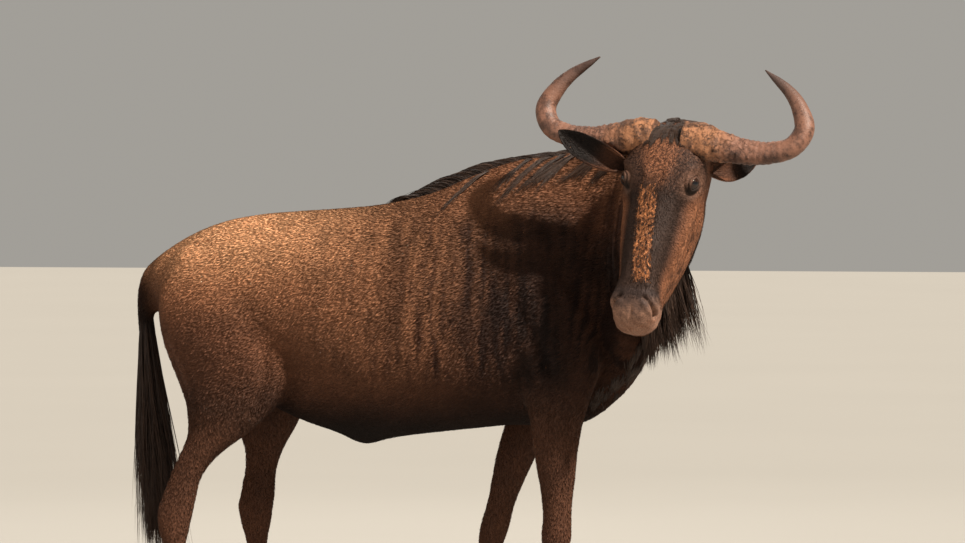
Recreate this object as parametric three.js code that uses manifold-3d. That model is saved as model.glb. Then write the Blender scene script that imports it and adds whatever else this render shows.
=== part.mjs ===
// A young blue wildebeest bull at life size, standing still with its head turned to its right.
// Millimetres: +X is forward along the body, +Y to the animal's left, +Z up, the floor at Z = 0.
import * as THREE from "three";
import { mergeVertices } from "three/addons/utils/BufferGeometryUtils.js";
import Module from "manifold-3d";

const wasm = await Module();
wasm.setup();

// The gap that parted pieces keep, and how deep a lock of hair is rooted.
const GAP = 0.35;
const ROOT_DEPTH = 14;

// The head: the point between the horns, and how the face is turned, tilted and leant.
const POLL = new THREE.Vector3(716, -330, 1414);
const HEAD_YAW = THREE.MathUtils.degToRad(-101);
const HEAD_PITCH = THREE.MathUtils.degToRad(65);
const HEAD_LEAN = THREE.MathUtils.degToRad(-4.5);

// The level where the legs leave the body, and the top of the hooves.
const ELBOW_LEVEL = 612;
const HOOF_HEIGHT = 52;

// Sections of the trunk from the rump to the breast. wide is the height of the widest place,
// half the half width there, crown and keel how square the upper and the lower half are.
const TRUNK = [
  { x: -642, top: 1052, bottom: 992, wide: 1022, half: 24, crown: 2, keel: 2 },
  { x: -625, top: 1072, bottom: 950, wide: 1012, half: 56, crown: 2, keel: 2 },
  { x: -590, top: 1098, bottom: 905, wide: 1005, half: 92, crown: 1.9, keel: 2 },
  { x: -530, top: 1134, bottom: 860, wide: 1000, half: 132, crown: 1.8, keel: 2 },
  { x: -450, top: 1166, bottom: 800, wide: 990, half: 165, crown: 1.8, keel: 2 },
  { x: -360, top: 1184, bottom: 722, wide: 975, half: 188, crown: 1.85, keel: 2 },
  { x: -250, top: 1194, bottom: 664, wide: 945, half: 208, crown: 1.9, keel: 2.1 },
  { x: -150, top: 1201, bottom: 634, wide: 920, half: 226, crown: 1.9, keel: 2.2 },
  { x: -40, top: 1212, bottom: 622, wide: 905, half: 238, crown: 1.85, keel: 2.2 },
  { x: 80, top: 1240, bottom: 634, wide: 900, half: 236, crown: 1.75, keel: 2.1 },
  { x: 190, top: 1286, bottom: 646, wide: 900, half: 222, crown: 1.6, keel: 2 },
  { x: 290, top: 1322, bottom: 656, wide: 900, half: 202, crown: 1.5, keel: 2 },
  { x: 390, top: 1330, bottom: 656, wide: 905, half: 186, crown: 1.5, keel: 1.9 },
  { x: 470, top: 1290, bottom: 664, wide: 915, half: 172, crown: 1.7, keel: 1.8 },
  { x: 540, top: 1190, bottom: 712, wide: 920, half: 146, crown: 2, keel: 1.8 },
  { x: 595, top: 1080, bottom: 772, wide: 920, half: 108, crown: 2, keel: 1.9 },
  { x: 628, top: 1000, bottom: 834, wide: 915, half: 64, crown: 2, keel: 2 },
  { x: 642, top: 948, bottom: 880, wide: 914, half: 26, crown: 2, keel: 2 },
];

// Muscles and hollows that the plain sections leave out, alike on both sides.
const TRUNK_SWELLS = [
  { at: [-470, 150, 1085], spread: [60, 45, 50], push: 10 },
  { at: [-300, 190, 1040], spread: [70, 60, 70], push: -12 },
  { at: [-265, 190, 800], spread: [70, 60, 90], push: -14 },
  { at: [-92, 0, 620], spread: [50, 40, 60], push: 24 },
  { at: [60, 230, 880], spread: [170, 80, 130], push: 10 },
  { at: [345, 150, 1165], spread: [55, 60, 120], push: 12 },
  { at: [240, 160, 1160], spread: [45, 70, 110], push: -9 },
  { at: [585, 90, 880], spread: [50, 45, 70], push: 14 },
];

// The way of the neck seen from above, and its sections along it from the withers to the head.
const NECK_WAY = [
  [200, 0],
  [340, 4],
  [480, 2],
  [600, -44],
  [684, -136],
  [716, -240],
];
const NECK = [
  { s: 0, top: 1270, bottom: 860, wide: 1060, half: 84, crown: 1.5, keel: 2 },
  { s: 0.18, top: 1318, bottom: 800, wide: 1035, half: 120, crown: 1.5, keel: 2 },
  { s: 0.38, top: 1346, bottom: 778, wide: 1020, half: 134, crown: 1.5, keel: 2 },
  { s: 0.58, top: 1358, bottom: 836, wide: 1050, half: 122, crown: 1.55, keel: 2 },
  { s: 0.78, top: 1390, bottom: 972, wide: 1140, half: 104, crown: 1.6, keel: 1.9 },
  { s: 0.92, top: 1410, bottom: 1092, wide: 1220, half: 92, crown: 1.7, keel: 1.9 },
  { s: 1, top: 1410, bottom: 1140, wide: 1240, half: 76, crown: 1.8, keel: 1.9 },
];

// Sections of the head along the face, from behind the poll to the lips, in the head's own
// frame: u runs down the face, heights are from the line of the forehead and the nose.
const HEAD = [
  { u: -74, top: -130, bottom: -160, wide: -144, half: 30, crown: 2, keel: 2 },
  { u: -58, top: -110, bottom: -178, wide: -134, half: 60, crown: 2, keel: 2 },
  { u: -30, top: -66, bottom: -200, wide: -112, half: 86, crown: 2.1, keel: 2 },
  { u: 10, top: -12, bottom: -224, wide: -88, half: 98, crown: 2.3, keel: 2 },
  { u: 60, top: 3, bottom: -242, wide: -76, half: 102, crown: 2.4, keel: 1.9 },
  { u: 110, top: 4, bottom: -250, wide: -68, half: 102, crown: 2.4, keel: 1.8 },
  { u: 155, top: 1, bottom: -246, wide: -70, half: 96, crown: 2.3, keel: 1.8 },
  { u: 205, top: -1, bottom: -246, wide: -94, half: 90, crown: 2.1, keel: 2 },
  { u: 255, top: 0, bottom: -240, wide: -104, half: 85, crown: 2, keel: 2.1 },
  { u: 305, top: 3, bottom: -226, wide: -102, half: 78, crown: 2, keel: 2.2 },
  { u: 355, top: 3, bottom: -206, wide: -90, half: 69, crown: 2.1, keel: 2.2 },
  { u: 400, top: -2, bottom: -182, wide: -76, half: 62, crown: 2.4, keel: 2.2 },
  { u: 436, top: -8, bottom: -154, wide: -66, half: 59, crown: 2.9, keel: 2.2 },
  { u: 470, top: -18, bottom: -134, wide: -68, half: 59, crown: 3, keel: 2.3 },
  { u: 497, top: -34, bottom: -127, wide: -78, half: 50, crown: 2.6, keel: 2.2 },
  { u: 513, top: -56, bottom: -114, wide: -86, half: 36, crown: 2.2, keel: 2.1 },
  { u: 521, top: -74, bottom: -100, wide: -87, half: 19, crown: 2, keel: 2 },
];
const HEAD_SWELLS = [
  { at: [112, 90, -20], spread: [30, 30, 22], push: 12 },
  { at: [150, 96, -74], spread: [40, 26, 20], push: 6 },
  { at: [190, 80, -48], spread: [30, 26, 24], push: -8 },
  { at: [188, 82, -150], spread: [62, 40, 56], push: 10 },
  { at: [262, 66, -74], spread: [56, 26, 16], push: 5 },
  { at: [80, 0, 4], spread: [62, 62, 40], push: 5 },
  { at: [458, 52, -38], spread: [22, 22, 22], push: 9 },
  { at: [492, 42, -78], spread: [24, 36, 20], push: 4 },
  { at: [484, 0, -132], spread: [30, 34, 16], push: 6 },
  { at: [424, 54, -106], spread: [26, 22, 12], push: -5 },
  { at: [392, 48, -46], spread: [34, 22, 22], push: -5 },
];

// The eyeball, the lids' thickness over it, and the length and height of the slit between them.
const EYE = { at: [136, 77, -38], radius: 21, lid: 5, slit: [38, 22], facing: [0.15, 0.86, 0.5] };
const NOSTRIL = { at: [459, 57, -32], size: [9, 11, 17], turn: 0.5 };
const MOUTH = { corner: [424, 54, -106], side: [484, 54, -106], front: [528, 0, -100], groove: 4 };

// A horn's middle line for the left side, in the head's frame, and its thickness along it.
const HORN_WAY = [
  [24, 38, -36],
  [24, 72, -38],
  [32, 140, -44],
  [37, 210, -48],
  [34, 256, -46],
  [16, 308, -42],
  [-29, 331, -38],
  [-80, 312, -32],
  [-119, 280, -26],
  [-166, 212, -10],
];
const HORN_GIRTH = [
  { t: 0, deep: 42, thick: 45 },
  { t: 0.07, deep: 43, thick: 46 },
  { t: 0.2, deep: 34, thick: 37 },
  { t: 0.34, deep: 27, thick: 30 },
  { t: 0.5, deep: 24, thick: 26 },
  { t: 0.64, deep: 23, thick: 25 },
  { t: 0.75, deep: 19, thick: 20 },
  { t: 0.84, deep: 14, thick: 15 },
  { t: 0.93, deep: 8, thick: 9 },
  { t: 1, deep: 2, thick: 2 },
];

// Each ear's bent middle line in the head's frame, and the way that its cup opens. Then the
// radius and the half angle of the cup along it.
const EARS = {
  left: { way: [[62, 84, -106], [52, 140, -150], [-10, 196, -172]], opening: [0.4, 0.5, 0.75] },
  right: { way: [[92, -90, -84], [104, -186, 14], [52, -264, 30]], opening: [0.36, 0.34, 0.87] },
};
const EAR_WALL = 6;
const EAR_FORM = [
  { t: 0, radius: 20, open: 2.7 },
  { t: 0.14, radius: 23, open: 2.5 },
  { t: 0.3, radius: 30, open: 1.75 },
  { t: 0.5, radius: 36, open: 1.25 },
  { t: 0.7, radius: 35, open: 1.05 },
  { t: 0.86, radius: 26, open: 0.9 },
  { t: 0.96, radius: 14, open: 0.8 },
  { t: 1, radius: 6, open: 0.7 },
];

// A leg's thickness by height: deep is half of it fore and aft, half is half of it across, mid
// its distance from the body's middle, and thin how much narrower its back is than its front.
const FORE_FORM = [
  { z: 1130, deep: 52, half: 26, mid: 112, thin: 0 },
  { z: 1010, deep: 92, half: 44, mid: 142, thin: 0 },
  { z: 900, deep: 112, half: 56, mid: 152, thin: 0 },
  { z: 820, deep: 108, half: 62, mid: 152, thin: 0 },
  { z: 740, deep: 86, half: 58, mid: 146, thin: 0.15 },
  { z: 680, deep: 70, half: 51, mid: 141, thin: 0.25 },
  { z: 620, deep: 60, half: 46, mid: 138, thin: 0.25 },
  { z: 545, deep: 50, half: 40, mid: 135, thin: 0.2 },
  { z: 480, deep: 41, half: 34, mid: 133, thin: 0.15 },
  { z: 437, deep: 38, half: 34, mid: 132, thin: 0.1 },
  { z: 395, deep: 40, half: 37, mid: 131, thin: 0.15 },
  { z: 358, deep: 36, half: 33, mid: 130, thin: 0.2 },
  { z: 320, deep: 27, half: 25, mid: 130, thin: 0.1 },
  { z: 230, deep: 24, half: 21, mid: 129, thin: 0.1 },
  { z: 170, deep: 25, half: 22, mid: 128, thin: 0.1 },
  { z: 136, deep: 33, half: 28, mid: 128, thin: 0.15 },
  { z: 108, deep: 31, half: 28, mid: 127, thin: 0.15 },
  { z: 80, deep: 28, half: 26, mid: 127, thin: 0 },
  { z: 40, deep: 40, half: 34, mid: 126, thin: 0 },
];
const HIND_FORM = [
  { z: 1110, deep: 96, half: 40, mid: 76, thin: 0 },
  { z: 1010, deep: 146, half: 78, mid: 104, thin: 0.1 },
  { z: 880, deep: 162, half: 92, mid: 120, thin: 0.2 },
  { z: 770, deep: 148, half: 82, mid: 128, thin: 0.3 },
  { z: 690, deep: 108, half: 66, mid: 132, thin: 0.35 },
  { z: 640, deep: 80, half: 54, mid: 133, thin: 0.4 },
  { z: 580, deep: 52, half: 40, mid: 134, thin: 0.45 },
  { z: 530, deep: 44, half: 34, mid: 134, thin: 0.5 },
  { z: 480, deep: 47, half: 33, mid: 134, thin: 0.5 },
  { z: 440, deep: 49, half: 34, mid: 133, thin: 0.4 },
  { z: 398, deep: 42, half: 32, mid: 132, thin: 0.25 },
  { z: 350, deep: 30, half: 26, mid: 131, thin: 0.15 },
  { z: 260, deep: 26, half: 22, mid: 130, thin: 0.1 },
  { z: 176, deep: 26, half: 22, mid: 129, thin: 0.1 },
  { z: 140, deep: 34, half: 28, mid: 128, thin: 0.15 },
  { z: 110, deep: 32, half: 28, mid: 127, thin: 0.15 },
  { z: 80, deep: 29, half: 26, mid: 127, thin: 0 },
  { z: 40, deep: 40, half: 34, mid: 126, thin: 0 },
];

// Where the middle of each leg runs, by height, fore and aft.
const LEG_WAYS = {
  front_right: [
    { z: 1130, x: 296 }, { z: 1010, x: 358 }, { z: 900, x: 404 }, { z: 820, x: 422 },
    { z: 740, x: 420 }, { z: 620, x: 414 }, { z: 480, x: 417 }, { z: 395, x: 415 },
    { z: 320, x: 410 }, { z: 170, x: 412 }, { z: 136, x: 414 }, { z: 108, x: 424 },
    { z: 80, x: 440 }, { z: 40, x: 458 },
  ],
  front_left: [
    { z: 1130, x: 296 }, { z: 1010, x: 352 }, { z: 900, x: 386 }, { z: 820, x: 384 },
    { z: 740, x: 352 }, { z: 620, x: 292 }, { z: 480, x: 244 }, { z: 395, x: 220 },
    { z: 320, x: 204 }, { z: 170, x: 178 }, { z: 136, x: 176 }, { z: 108, x: 184 },
    { z: 80, x: 200 }, { z: 40, x: 218 },
  ],
  hind_right: [
    { z: 1110, x: -446 }, { z: 1010, x: -448 }, { z: 880, x: -426 }, { z: 770, x: -398 },
    { z: 690, x: -412 }, { z: 640, x: -438 }, { z: 580, x: -490 }, { z: 530, x: -521 },
    { z: 480, x: -538 }, { z: 440, x: -549 }, { z: 398, x: -552 }, { z: 350, x: -551 },
    { z: 176, x: -546 }, { z: 140, x: -544 }, { z: 110, x: -534 }, { z: 80, x: -516 },
    { z: 40, x: -496 },
  ],
  hind_left: [
    { z: 1110, x: -450 }, { z: 1010, x: -448 }, { z: 880, x: -420 }, { z: 770, x: -386 },
    { z: 690, x: -374 }, { z: 640, x: -370 }, { z: 580, x: -376 }, { z: 530, x: -384 },
    { z: 480, x: -391 }, { z: 440, x: -396 }, { z: 398, x: -396 }, { z: 350, x: -393 },
    { z: 176, x: -385 }, { z: 140, x: -382 }, { z: 110, x: -371 }, { z: 80, x: -352 },
    { z: 40, x: -332 },
  ],
};

// The tail's fleshy dock, from inside the rump down, and its thickness.
const TAIL_WAY = [
  [-578, 0, 1050],
  [-620, 0, 1044],
  [-646, 2, 1000],
  [-652, 4, 930],
  [-648, 6, 830],
  [-640, 6, 720],
  [-636, 4, 600],
  [-638, 2, 500],
];
const TAIL_GIRTH = [
  { t: 0, deep: 28, thick: 34 },
  { t: 0.15, deep: 25, thick: 32 },
  { t: 0.4, deep: 20, thick: 25 },
  { t: 0.7, deep: 15, thick: 18 },
  { t: 1, deep: 7, thick: 8 },
];

const DOWN = new THREE.Vector3(0, 0, -1);

// The same draws of chance each time.
let seed = 11;
/** A number from low to high, drawn in turn from one seeded row. */
function drawn(low, high) {
  seed = (seed * 1103515245 + 12345) % 2147483648;
  return low + ((high - low) * seed) / 2147483648;
}

/** Smooth values between the rows of a table, read at any place along one of its columns. */
function between(rows, along) {
  const sorted = [...rows].sort((a, b) => a[along] - b[along]);
  const columns = Object.keys(rows[0]).filter((name) => name !== along);
  const samples = sorted.flatMap((row) => columns.map((name) => row[name]));
  const places = sorted.map((row) => row[along]);
  const curve = new THREE.CubicInterpolant(places, samples, columns.length);
  return (at) => {
    const values = curve.evaluate(at);
    return Object.fromEntries(columns.map((name, i) => [name, values[i]]));
  };
}

/** How far sideways and how high a point of an egg-shaped section lies, by its angle. */
function egg({ top, bottom, wide, half, crown, keel }, angle) {
  const across = Math.cos(angle);
  const rise = Math.sin(angle);
  const power = 2 / (rise > 0 ? crown : keel);
  const reach = rise > 0 ? top - wide : wide - bottom;
  return {
    side: half * Math.sign(across) * Math.abs(across) ** power,
    height: wide + reach * Math.sign(rise) * Math.abs(rise) ** power,
  };
}

/** Pushes a point out by each muscle near it, or in by each hollow. */
function swollen(point, outward, swells) {
  for (const { at, spread, push } of swells) {
    const away =
      ((point.x - at[0]) / spread[0]) ** 2 +
      ((Math.abs(point.y) - at[1]) / spread[1]) ** 2 +
      ((point.z - at[2]) / spread[2]) ** 2;
    point.addScaledVector(outward, push * Math.exp(-away));
  }
  return point;
}

/**
 * A closed body through rings of points. A hollow ring is capped across, a round one on its
 * middle, and the last one on the tip where one is given.
 */
function lofted(rings, { hollow = false, tip = null } = {}) {
  const sides = rings[0].length;
  const positions = rings.flat().flatMap((p) => [p.x, p.y, p.z]);
  const faces = [];
  for (let i = 0; i + 1 < rings.length; i++) {
    for (let k = 0; k < sides; k++) {
      const a = i * sides + k;
      const b = i * sides + ((k + 1) % sides);
      faces.push(a, b, b + sides, a, b + sides, a + sides);
    }
  }
  for (const end of [0, rings.length - 1]) {
    const first = end * sides;
    if (hollow) {
      for (let k = 0; k + 1 < sides / 2; k++) {
        const across = [first + k, first + sides - 1 - k, first + sides - 2 - k, first + k + 1];
        const turned = end ? [...across].reverse() : across;
        faces.push(turned[0], turned[1], turned[2], turned[0], turned[2], turned[3]);
      }
      continue;
    }
    const middle = new THREE.Vector3();
    rings[end].forEach((p) => middle.addScaledVector(p, 1 / sides));
    const point = end && tip ? tip : middle;
    const hub = positions.length / 3;
    positions.push(point.x, point.y, point.z);
    for (let k = 0; k < sides; k++) {
      const pair = [first + k, first + ((k + 1) % sides)];
      faces.push(hub, ...(end ? pair : pair.reverse()));
    }
  }
  const geometry = new THREE.BufferGeometry();
  geometry.setAttribute("position", new THREE.Float32BufferAttribute(positions, 3));
  return geometry.setIndex(faces);
}

/** A three.js geometry as a solid for cutting and joining, turned right side out. */
function solid(geometry) {
  const bare = geometry.clone();
  bare.deleteAttribute("normal");
  bare.deleteAttribute("uv");
  const merged = mergeVertices(bare, 1e-3);
  const vertProperties = new Float32Array(merged.attributes.position.array);
  const made = (triVerts) => new wasm.Manifold(new wasm.Mesh({ numProp: 3, vertProperties, triVerts }));
  const faces = new Uint32Array(merged.index.array);
  const first = made(faces);
  return first.volume() > 0 ? first : made(faces.reverse());
}

/** A solid's surface as a three.js geometry. */
function surface(part) {
  const mesh = part.getMesh();
  const geometry = new THREE.BufferGeometry();
  geometry.setAttribute("position", new THREE.BufferAttribute(mesh.vertProperties, 3));
  geometry.setIndex(new THREE.BufferAttribute(mesh.triVerts, 1));
  return geometry;
}

/** A solid grown by the gap on all sides, to cut room for it in its neighbours. */
function grown(part) {
  const geometry = surface(part);
  geometry.computeVertexNormals();
  const { position, normal } = geometry.attributes;
  for (let i = 0; i < position.count; i++) {
    position.setXYZ(
      i,
      position.getX(i) + normal.getX(i) * GAP,
      position.getY(i) + normal.getY(i) * GAP,
      position.getZ(i) + normal.getZ(i) * GAP,
    );
  }
  return solid(geometry);
}

/** The largest closed body of a solid. */
function largest(part) {
  return part.decompose().reduce((a, b) => (b.volume() > a.volume() ? b : a));
}

/** All of the solids joined in one. */
function joined(parts) {
  return parts.reduce((a, b) => a.add(b));
}

/** Points from start to end, closer together near both ends. */
function easedSteps(start, end, count) {
  return Array.from({ length: count }, (_, i) => {
    const t = i / (count - 1);
    return start + (end - start) * (0.35 * t + 0.65 * (0.5 - 0.5 * Math.cos(Math.PI * t)));
  });
}

/** The angles of a section's points. */
function angles(sides) {
  return Array.from({ length: sides }, (_, k) => (k * 2 * Math.PI) / sides);
}

/** A smooth curve through points. */
function smoothCurve(points) {
  return new THREE.CatmullRomCurve3(points.map((p) => new THREE.Vector3(...p)), false, "centripetal");
}

/** A round body that follows a curve, with a table of its depth and thickness along it. */
function alongCurve(points, girth, ringCount, sides) {
  const curve = smoothCurve(points);
  const sizes = between(girth, "t");
  const frames = curve.computeFrenetFrames(ringCount - 1, false);
  const rings = Array.from({ length: ringCount }, (_, i) => {
    const t = i / (ringCount - 1);
    const { deep, thick } = sizes(t);
    return angles(sides).map((angle) =>
      curve
        .getPointAt(t)
        .addScaledVector(frames.normals[i], deep * Math.cos(angle))
        .addScaledVector(frames.binormals[i], thick * Math.sin(angle)),
    );
  });
  return { rings, curve };
}

const trunkAt = between(TRUNK, "x");
/** A point of the trunk's skin at a place along it and an angle round it from the left side. */
function trunkPoint(x, angle) {
  const { side, height } = egg(trunkAt(x), angle);
  const outward = new THREE.Vector3(0, Math.cos(angle), Math.sin(angle));
  return swollen(new THREE.Vector3(x, side, height), outward, TRUNK_SWELLS);
}

/** The trunk, from the rump to the breast. */
function trunk() {
  const places = easedSteps(TRUNK[0].x, TRUNK.at(-1).x, 25);
  return solid(lofted(places.map((x) => angles(20).map((angle) => trunkPoint(x, angle)))));
}

const neckCurve = new THREE.CatmullRomCurve3(NECK_WAY.map(([x, y]) => new THREE.Vector3(x, y, 0)));
const neckAt = between(NECK, "s");
/** A point of the neck's skin at a share of its way and an angle round it from the left side. */
function neckPoint(s, angle) {
  const { side, height } = egg(neckAt(s), angle);
  const middle = neckCurve.getPointAt(s);
  const ahead = neckCurve.getTangentAt(s);
  return new THREE.Vector3(middle.x - ahead.y * side, middle.y + ahead.x * side, height);
}

/** The neck, from inside the withers to inside the head. */
function neck() {
  const shares = Array.from({ length: 14 }, (_, i) => i / 13);
  return solid(lofted(shares.map((s) => angles(20).map((angle) => neckPoint(s, angle)))));
}

// The head's own frame: u down the face, v to the animal's left, w out of the forehead.
const headFrame = new THREE.Matrix4()
  .makeRotationFromEuler(new THREE.Euler(HEAD_LEAN, HEAD_PITCH, HEAD_YAW, "ZXY"))
  .setPosition(POLL);
/** A place in the head's frame as a place in the animal's. */
function onHead(u, v, w) {
  return new THREE.Vector3(u, v, w).applyMatrix4(headFrame);
}
/** A direction in the head's frame as one in the animal's. */
function headway(u, v, w) {
  return new THREE.Vector3(u, v, w).transformDirection(headFrame);
}

const headAt = between(HEAD, "u");
/** A point of the head's skin in its own frame. */
function headPoint(u, angle) {
  const { side, height } = egg(headAt(u), angle);
  const outward = new THREE.Vector3(0, Math.cos(angle), Math.sin(angle));
  return swollen(new THREE.Vector3(u, side, height), outward, HEAD_SWELLS);
}

/** The skull and the face, with the balls of the lids and without eyes, nostrils or mouth. */
function headFlesh() {
  const places = easedSteps(HEAD[0].u, HEAD.at(-1).u, 31);
  const rings = places.map((u) => angles(28).map((angle) => headPoint(u, angle).applyMatrix4(headFrame)));
  return joined([solid(lofted(rings)), eyeball(1, EYE.lid), eyeball(-1, EYE.lid)]);
}

/** An eyeball, or a larger ball round it. */
function eyeball(side, extra = 0) {
  const [u, v, w] = EYE.at;
  const ball = new THREE.SphereGeometry(EYE.radius + extra, 14, 8);
  return solid(ball.translate(u, side * v, w).applyMatrix4(headFrame));
}

/** The slit between the lids, cut from just inside the eyeball's surface outwards. */
function slit(side) {
  const [u, v, w] = EYE.at;
  const [length, height] = EYE.slit;
  const facing = new THREE.Vector3(EYE.facing[0], EYE.facing[1] * side, EYE.facing[2]).normalize();
  const almond = new THREE.CylinderGeometry(length / 2, length / 2 - 4, 40, 12).scale(1, 1, height / length);
  const across = facing.clone().cross(new THREE.Vector3(1, 0, 0)).normalize();
  const along = facing.clone().cross(across).normalize();
  almond.applyMatrix4(new THREE.Matrix4().makeBasis(along, facing, along.clone().cross(facing)));
  const reach = facing.multiplyScalar(EYE.radius * 0.7 + 20);
  return solid(almond.translate(u + reach.x, side * v + reach.y, w + reach.z).applyMatrix4(headFrame));
}

/** The hollow of a nostril, a slit that bends round its flap. */
function nostril(side) {
  const [u, v, w] = NOSTRIL.at;
  const hollow = new THREE.SphereGeometry(1, 12, 8).scale(...NOSTRIL.size);
  hollow.rotateX(side * NOSTRIL.turn).rotateY(-0.5);
  return solid(hollow.translate(u, side * v, w).applyMatrix4(headFrame));
}

/** The groove between the lips, from one corner round the front to the other. */
function mouth() {
  const { corner, side, front, groove } = MOUTH;
  const other = ([u, v, w]) => [u, -v, w];
  const points = [corner, side, front, other(side), other(corner)];
  const girth = [
    { t: 0, deep: 1, thick: 1 },
    { t: 0.08, deep: groove, thick: groove },
    { t: 0.5, deep: groove, thick: groove },
    { t: 0.92, deep: groove, thick: groove },
    { t: 1, deep: 1, thick: 1 },
  ];
  const { rings } = alongCurve(points, girth, 22, 6);
  return solid(lofted(rings).applyMatrix4(headFrame));
}

/** A horn, its knobbly base swollen by small ridges round it. */
function horn(side) {
  const points = HORN_WAY.map(([u, v, w]) => [u, v * side, w]);
  const { rings, curve } = alongCurve(points, HORN_GIRTH, 22, 10);
  const ridged = rings.map((ring, i) => {
    const t = i / (rings.length - 1);
    const swell = 1 + 0.035 * Math.cos(t * 90) * Math.max(0, 1 - t / 0.45);
    const middle = curve.getPointAt(t);
    return ring.map((p) => p.sub(middle).multiplyScalar(swell).add(middle));
  });
  return solid(lofted(ridged).applyMatrix4(headFrame));
}

/** An ear, a leaf-shaped cup rolled into a tube at its root. */
function ear(word) {
  const { way, opening } = EARS[word];
  const curve = new THREE.QuadraticBezierCurve3(...way.map((numbers) => new THREE.Vector3(...numbers)));
  const form = between(EAR_FORM, "t");
  const count = 11;
  const rings = Array.from({ length: count }, (_, i) => {
    const t = i / (count - 1);
    const { radius, open } = form(t);
    const wall = EAR_WALL * (1 - 0.45 * t);
    const along = curve.getTangent(t);
    const face = new THREE.Vector3(...opening);
    face.addScaledVector(along, -face.dot(along)).normalize();
    const across = along.clone().cross(face);
    const middle = curve.getPoint(t).addScaledVector(face, radius * 0.35 - 14 * t * t);
    const arc = (reach, turn) =>
      middle
        .clone()
        .addScaledVector(face, -reach * Math.cos(open * turn))
        .addScaledVector(across, reach * Math.sin(open * turn));
    const turns = [-1, -0.67, -0.33, 0, 0.33, 0.67, 1];
    const outer = turns.map((turn) => arc(radius, turn));
    const inner = turns.map((turn) => arc(Math.max(radius - wall, radius * 0.4), turn));
    return [...outer, ...inner.reverse()];
  });
  return solid(lofted(rings, { hollow: true }).applyMatrix4(headFrame));
}

/** A leg from inside the trunk to inside the hoof, with the two dewclaws behind its fetlock. */
function leg(name) {
  const side = name.endsWith("left") ? 1 : -1;
  const rows = name.startsWith("front") ? FORE_FORM : HIND_FORM;
  const form = between(rows, "z");
  const way = between(LEG_WAYS[name], "z");
  const top = rows[0].z;
  const low = rows.at(-1).z;
  const heights = rows.flatMap(({ z }, i) => {
    const above = i ? rows[i - 1].z : z;
    return above - z > 80 ? [(above + z) / 2, z] : [z];
  });
  const rings = heights.map((z) => {
    const { deep, half, mid, thin } = form(THREE.MathUtils.clamp(z, low, top));
    const { x } = way(z);
    return angles(12).map((angle) => {
      const narrowing = 1 - thin * 0.5 * (1 - Math.cos(angle));
      return new THREE.Vector3(
        x + deep * Math.cos(angle),
        side * mid + half * narrowing * Math.sin(angle),
        z,
      );
    });
  });
  const { x } = way(108);
  const { deep } = form(108);
  const claws = [1, -1].map((half) => {
    const claw = new THREE.ConeGeometry(11, 34, 6).rotateZ(2.5);
    return solid(claw.translate(x - deep + 2, side * 127 + half * 13, 104));
  });
  return joined([solid(lofted(rings)), ...claws]);
}

/** A cloven hoof, flat underneath, its two claws joined at the heel. */
function hoof(name) {
  const side = name.endsWith("left") ? 1 : -1;
  const way = between(LEG_WAYS[name], "z");
  const { x } = way(HOOF_HEIGHT - 12);
  const rings = [0, 0.08, 0.5, 1].map((t) => {
    const height = (HOOF_HEIGHT - GAP) * t;
    const front = x + 74 - 44 * t;
    const rear = x - 42 - 2 * t;
    const half = (t === 0 ? 38 : 41) - 7 * t;
    return angles(16).map((angle) => {
      const ahead = Math.cos(angle);
      const pointed = 1 - 0.3 * Math.max(0, ahead) ** 2;
      return new THREE.Vector3(
        (front + rear) / 2 + ((front - rear) / 2) * ahead,
        side * 126 + half * pointed * Math.sign(Math.sin(angle)) * Math.abs(Math.sin(angle)) ** 0.8,
        height,
      );
    });
  });
  const cleft = new THREE.BoxGeometry(90, 5, 3 * HOOF_HEIGHT).rotateY(-0.25);
  return solid(lofted(rings)).subtract(solid(cleft.translate(x + 62, side * 126, 0)));
}

/** The tail's dock. */
function dock() {
  return solid(lofted(alongCurve(TAIL_WAY, TAIL_GIRTH, 16, 10).rings));
}

/**
 * A flat, tapered lock of hair with a ridge along it, on a bent line. It leaves the skin along
 * out, bends over to lie, sways to one side, and its root is sunk by the root depth. spare
 * makes it larger all round, for the room that it needs in its neighbours.
 */
function lock({ root, out, lie, length, width, sway, thick = 7, bend = 0.5 }, spare = 0) {
  const steps = 4;
  const across = out.clone().cross(lie).normalize();
  const start = root.clone().addScaledVector(out, -ROOT_DEPTH);
  const knee = root.clone().addScaledVector(out, length * (1 - bend) * 0.5);
  knee.addScaledVector(lie, length * bend * 0.4);
  const end = knee.clone().addScaledVector(lie, length * 0.7).addScaledVector(across, length * sway);
  const curve = new THREE.QuadraticBezierCurve3(start, knee, end);
  const rings = Array.from({ length: spare ? steps + 1 : steps }, (_, i) => {
    const t = i / steps;
    const full = i < steps ? 1 : 0;
    const lift = across.clone().cross(curve.getTangent(t)).normalize();
    const breadth = full * width * (0.6 + 0.9 * t - 1.2 * t * t) + 2 * spare;
    const depth = full * thick * (1 - 0.6 * t);
    const middle = curve.getPoint(t).addScaledVector(curve.getTangent(t), full ? 0 : 2 * spare);
    return [
      middle.clone().addScaledVector(across, breadth).addScaledVector(lift, depth * 0.4 + spare),
      middle.clone().addScaledVector(lift, -depth - 2 * spare),
      middle.clone().addScaledVector(across, -breadth).addScaledVector(lift, depth * 0.4 + spare),
    ];
  });
  return solid(lofted(rings, { tip: spare ? null : end }));
}

/** The solids of a list of locks, each larger all round by spare. */
function locks(list, spare = 0) {
  return list.map((each) => lock(each, spare));
}

/** A direction between two others, by a share. */
function mixed(a, b, share) {
  return a.clone().lerp(b, share).normalize();
}

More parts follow.
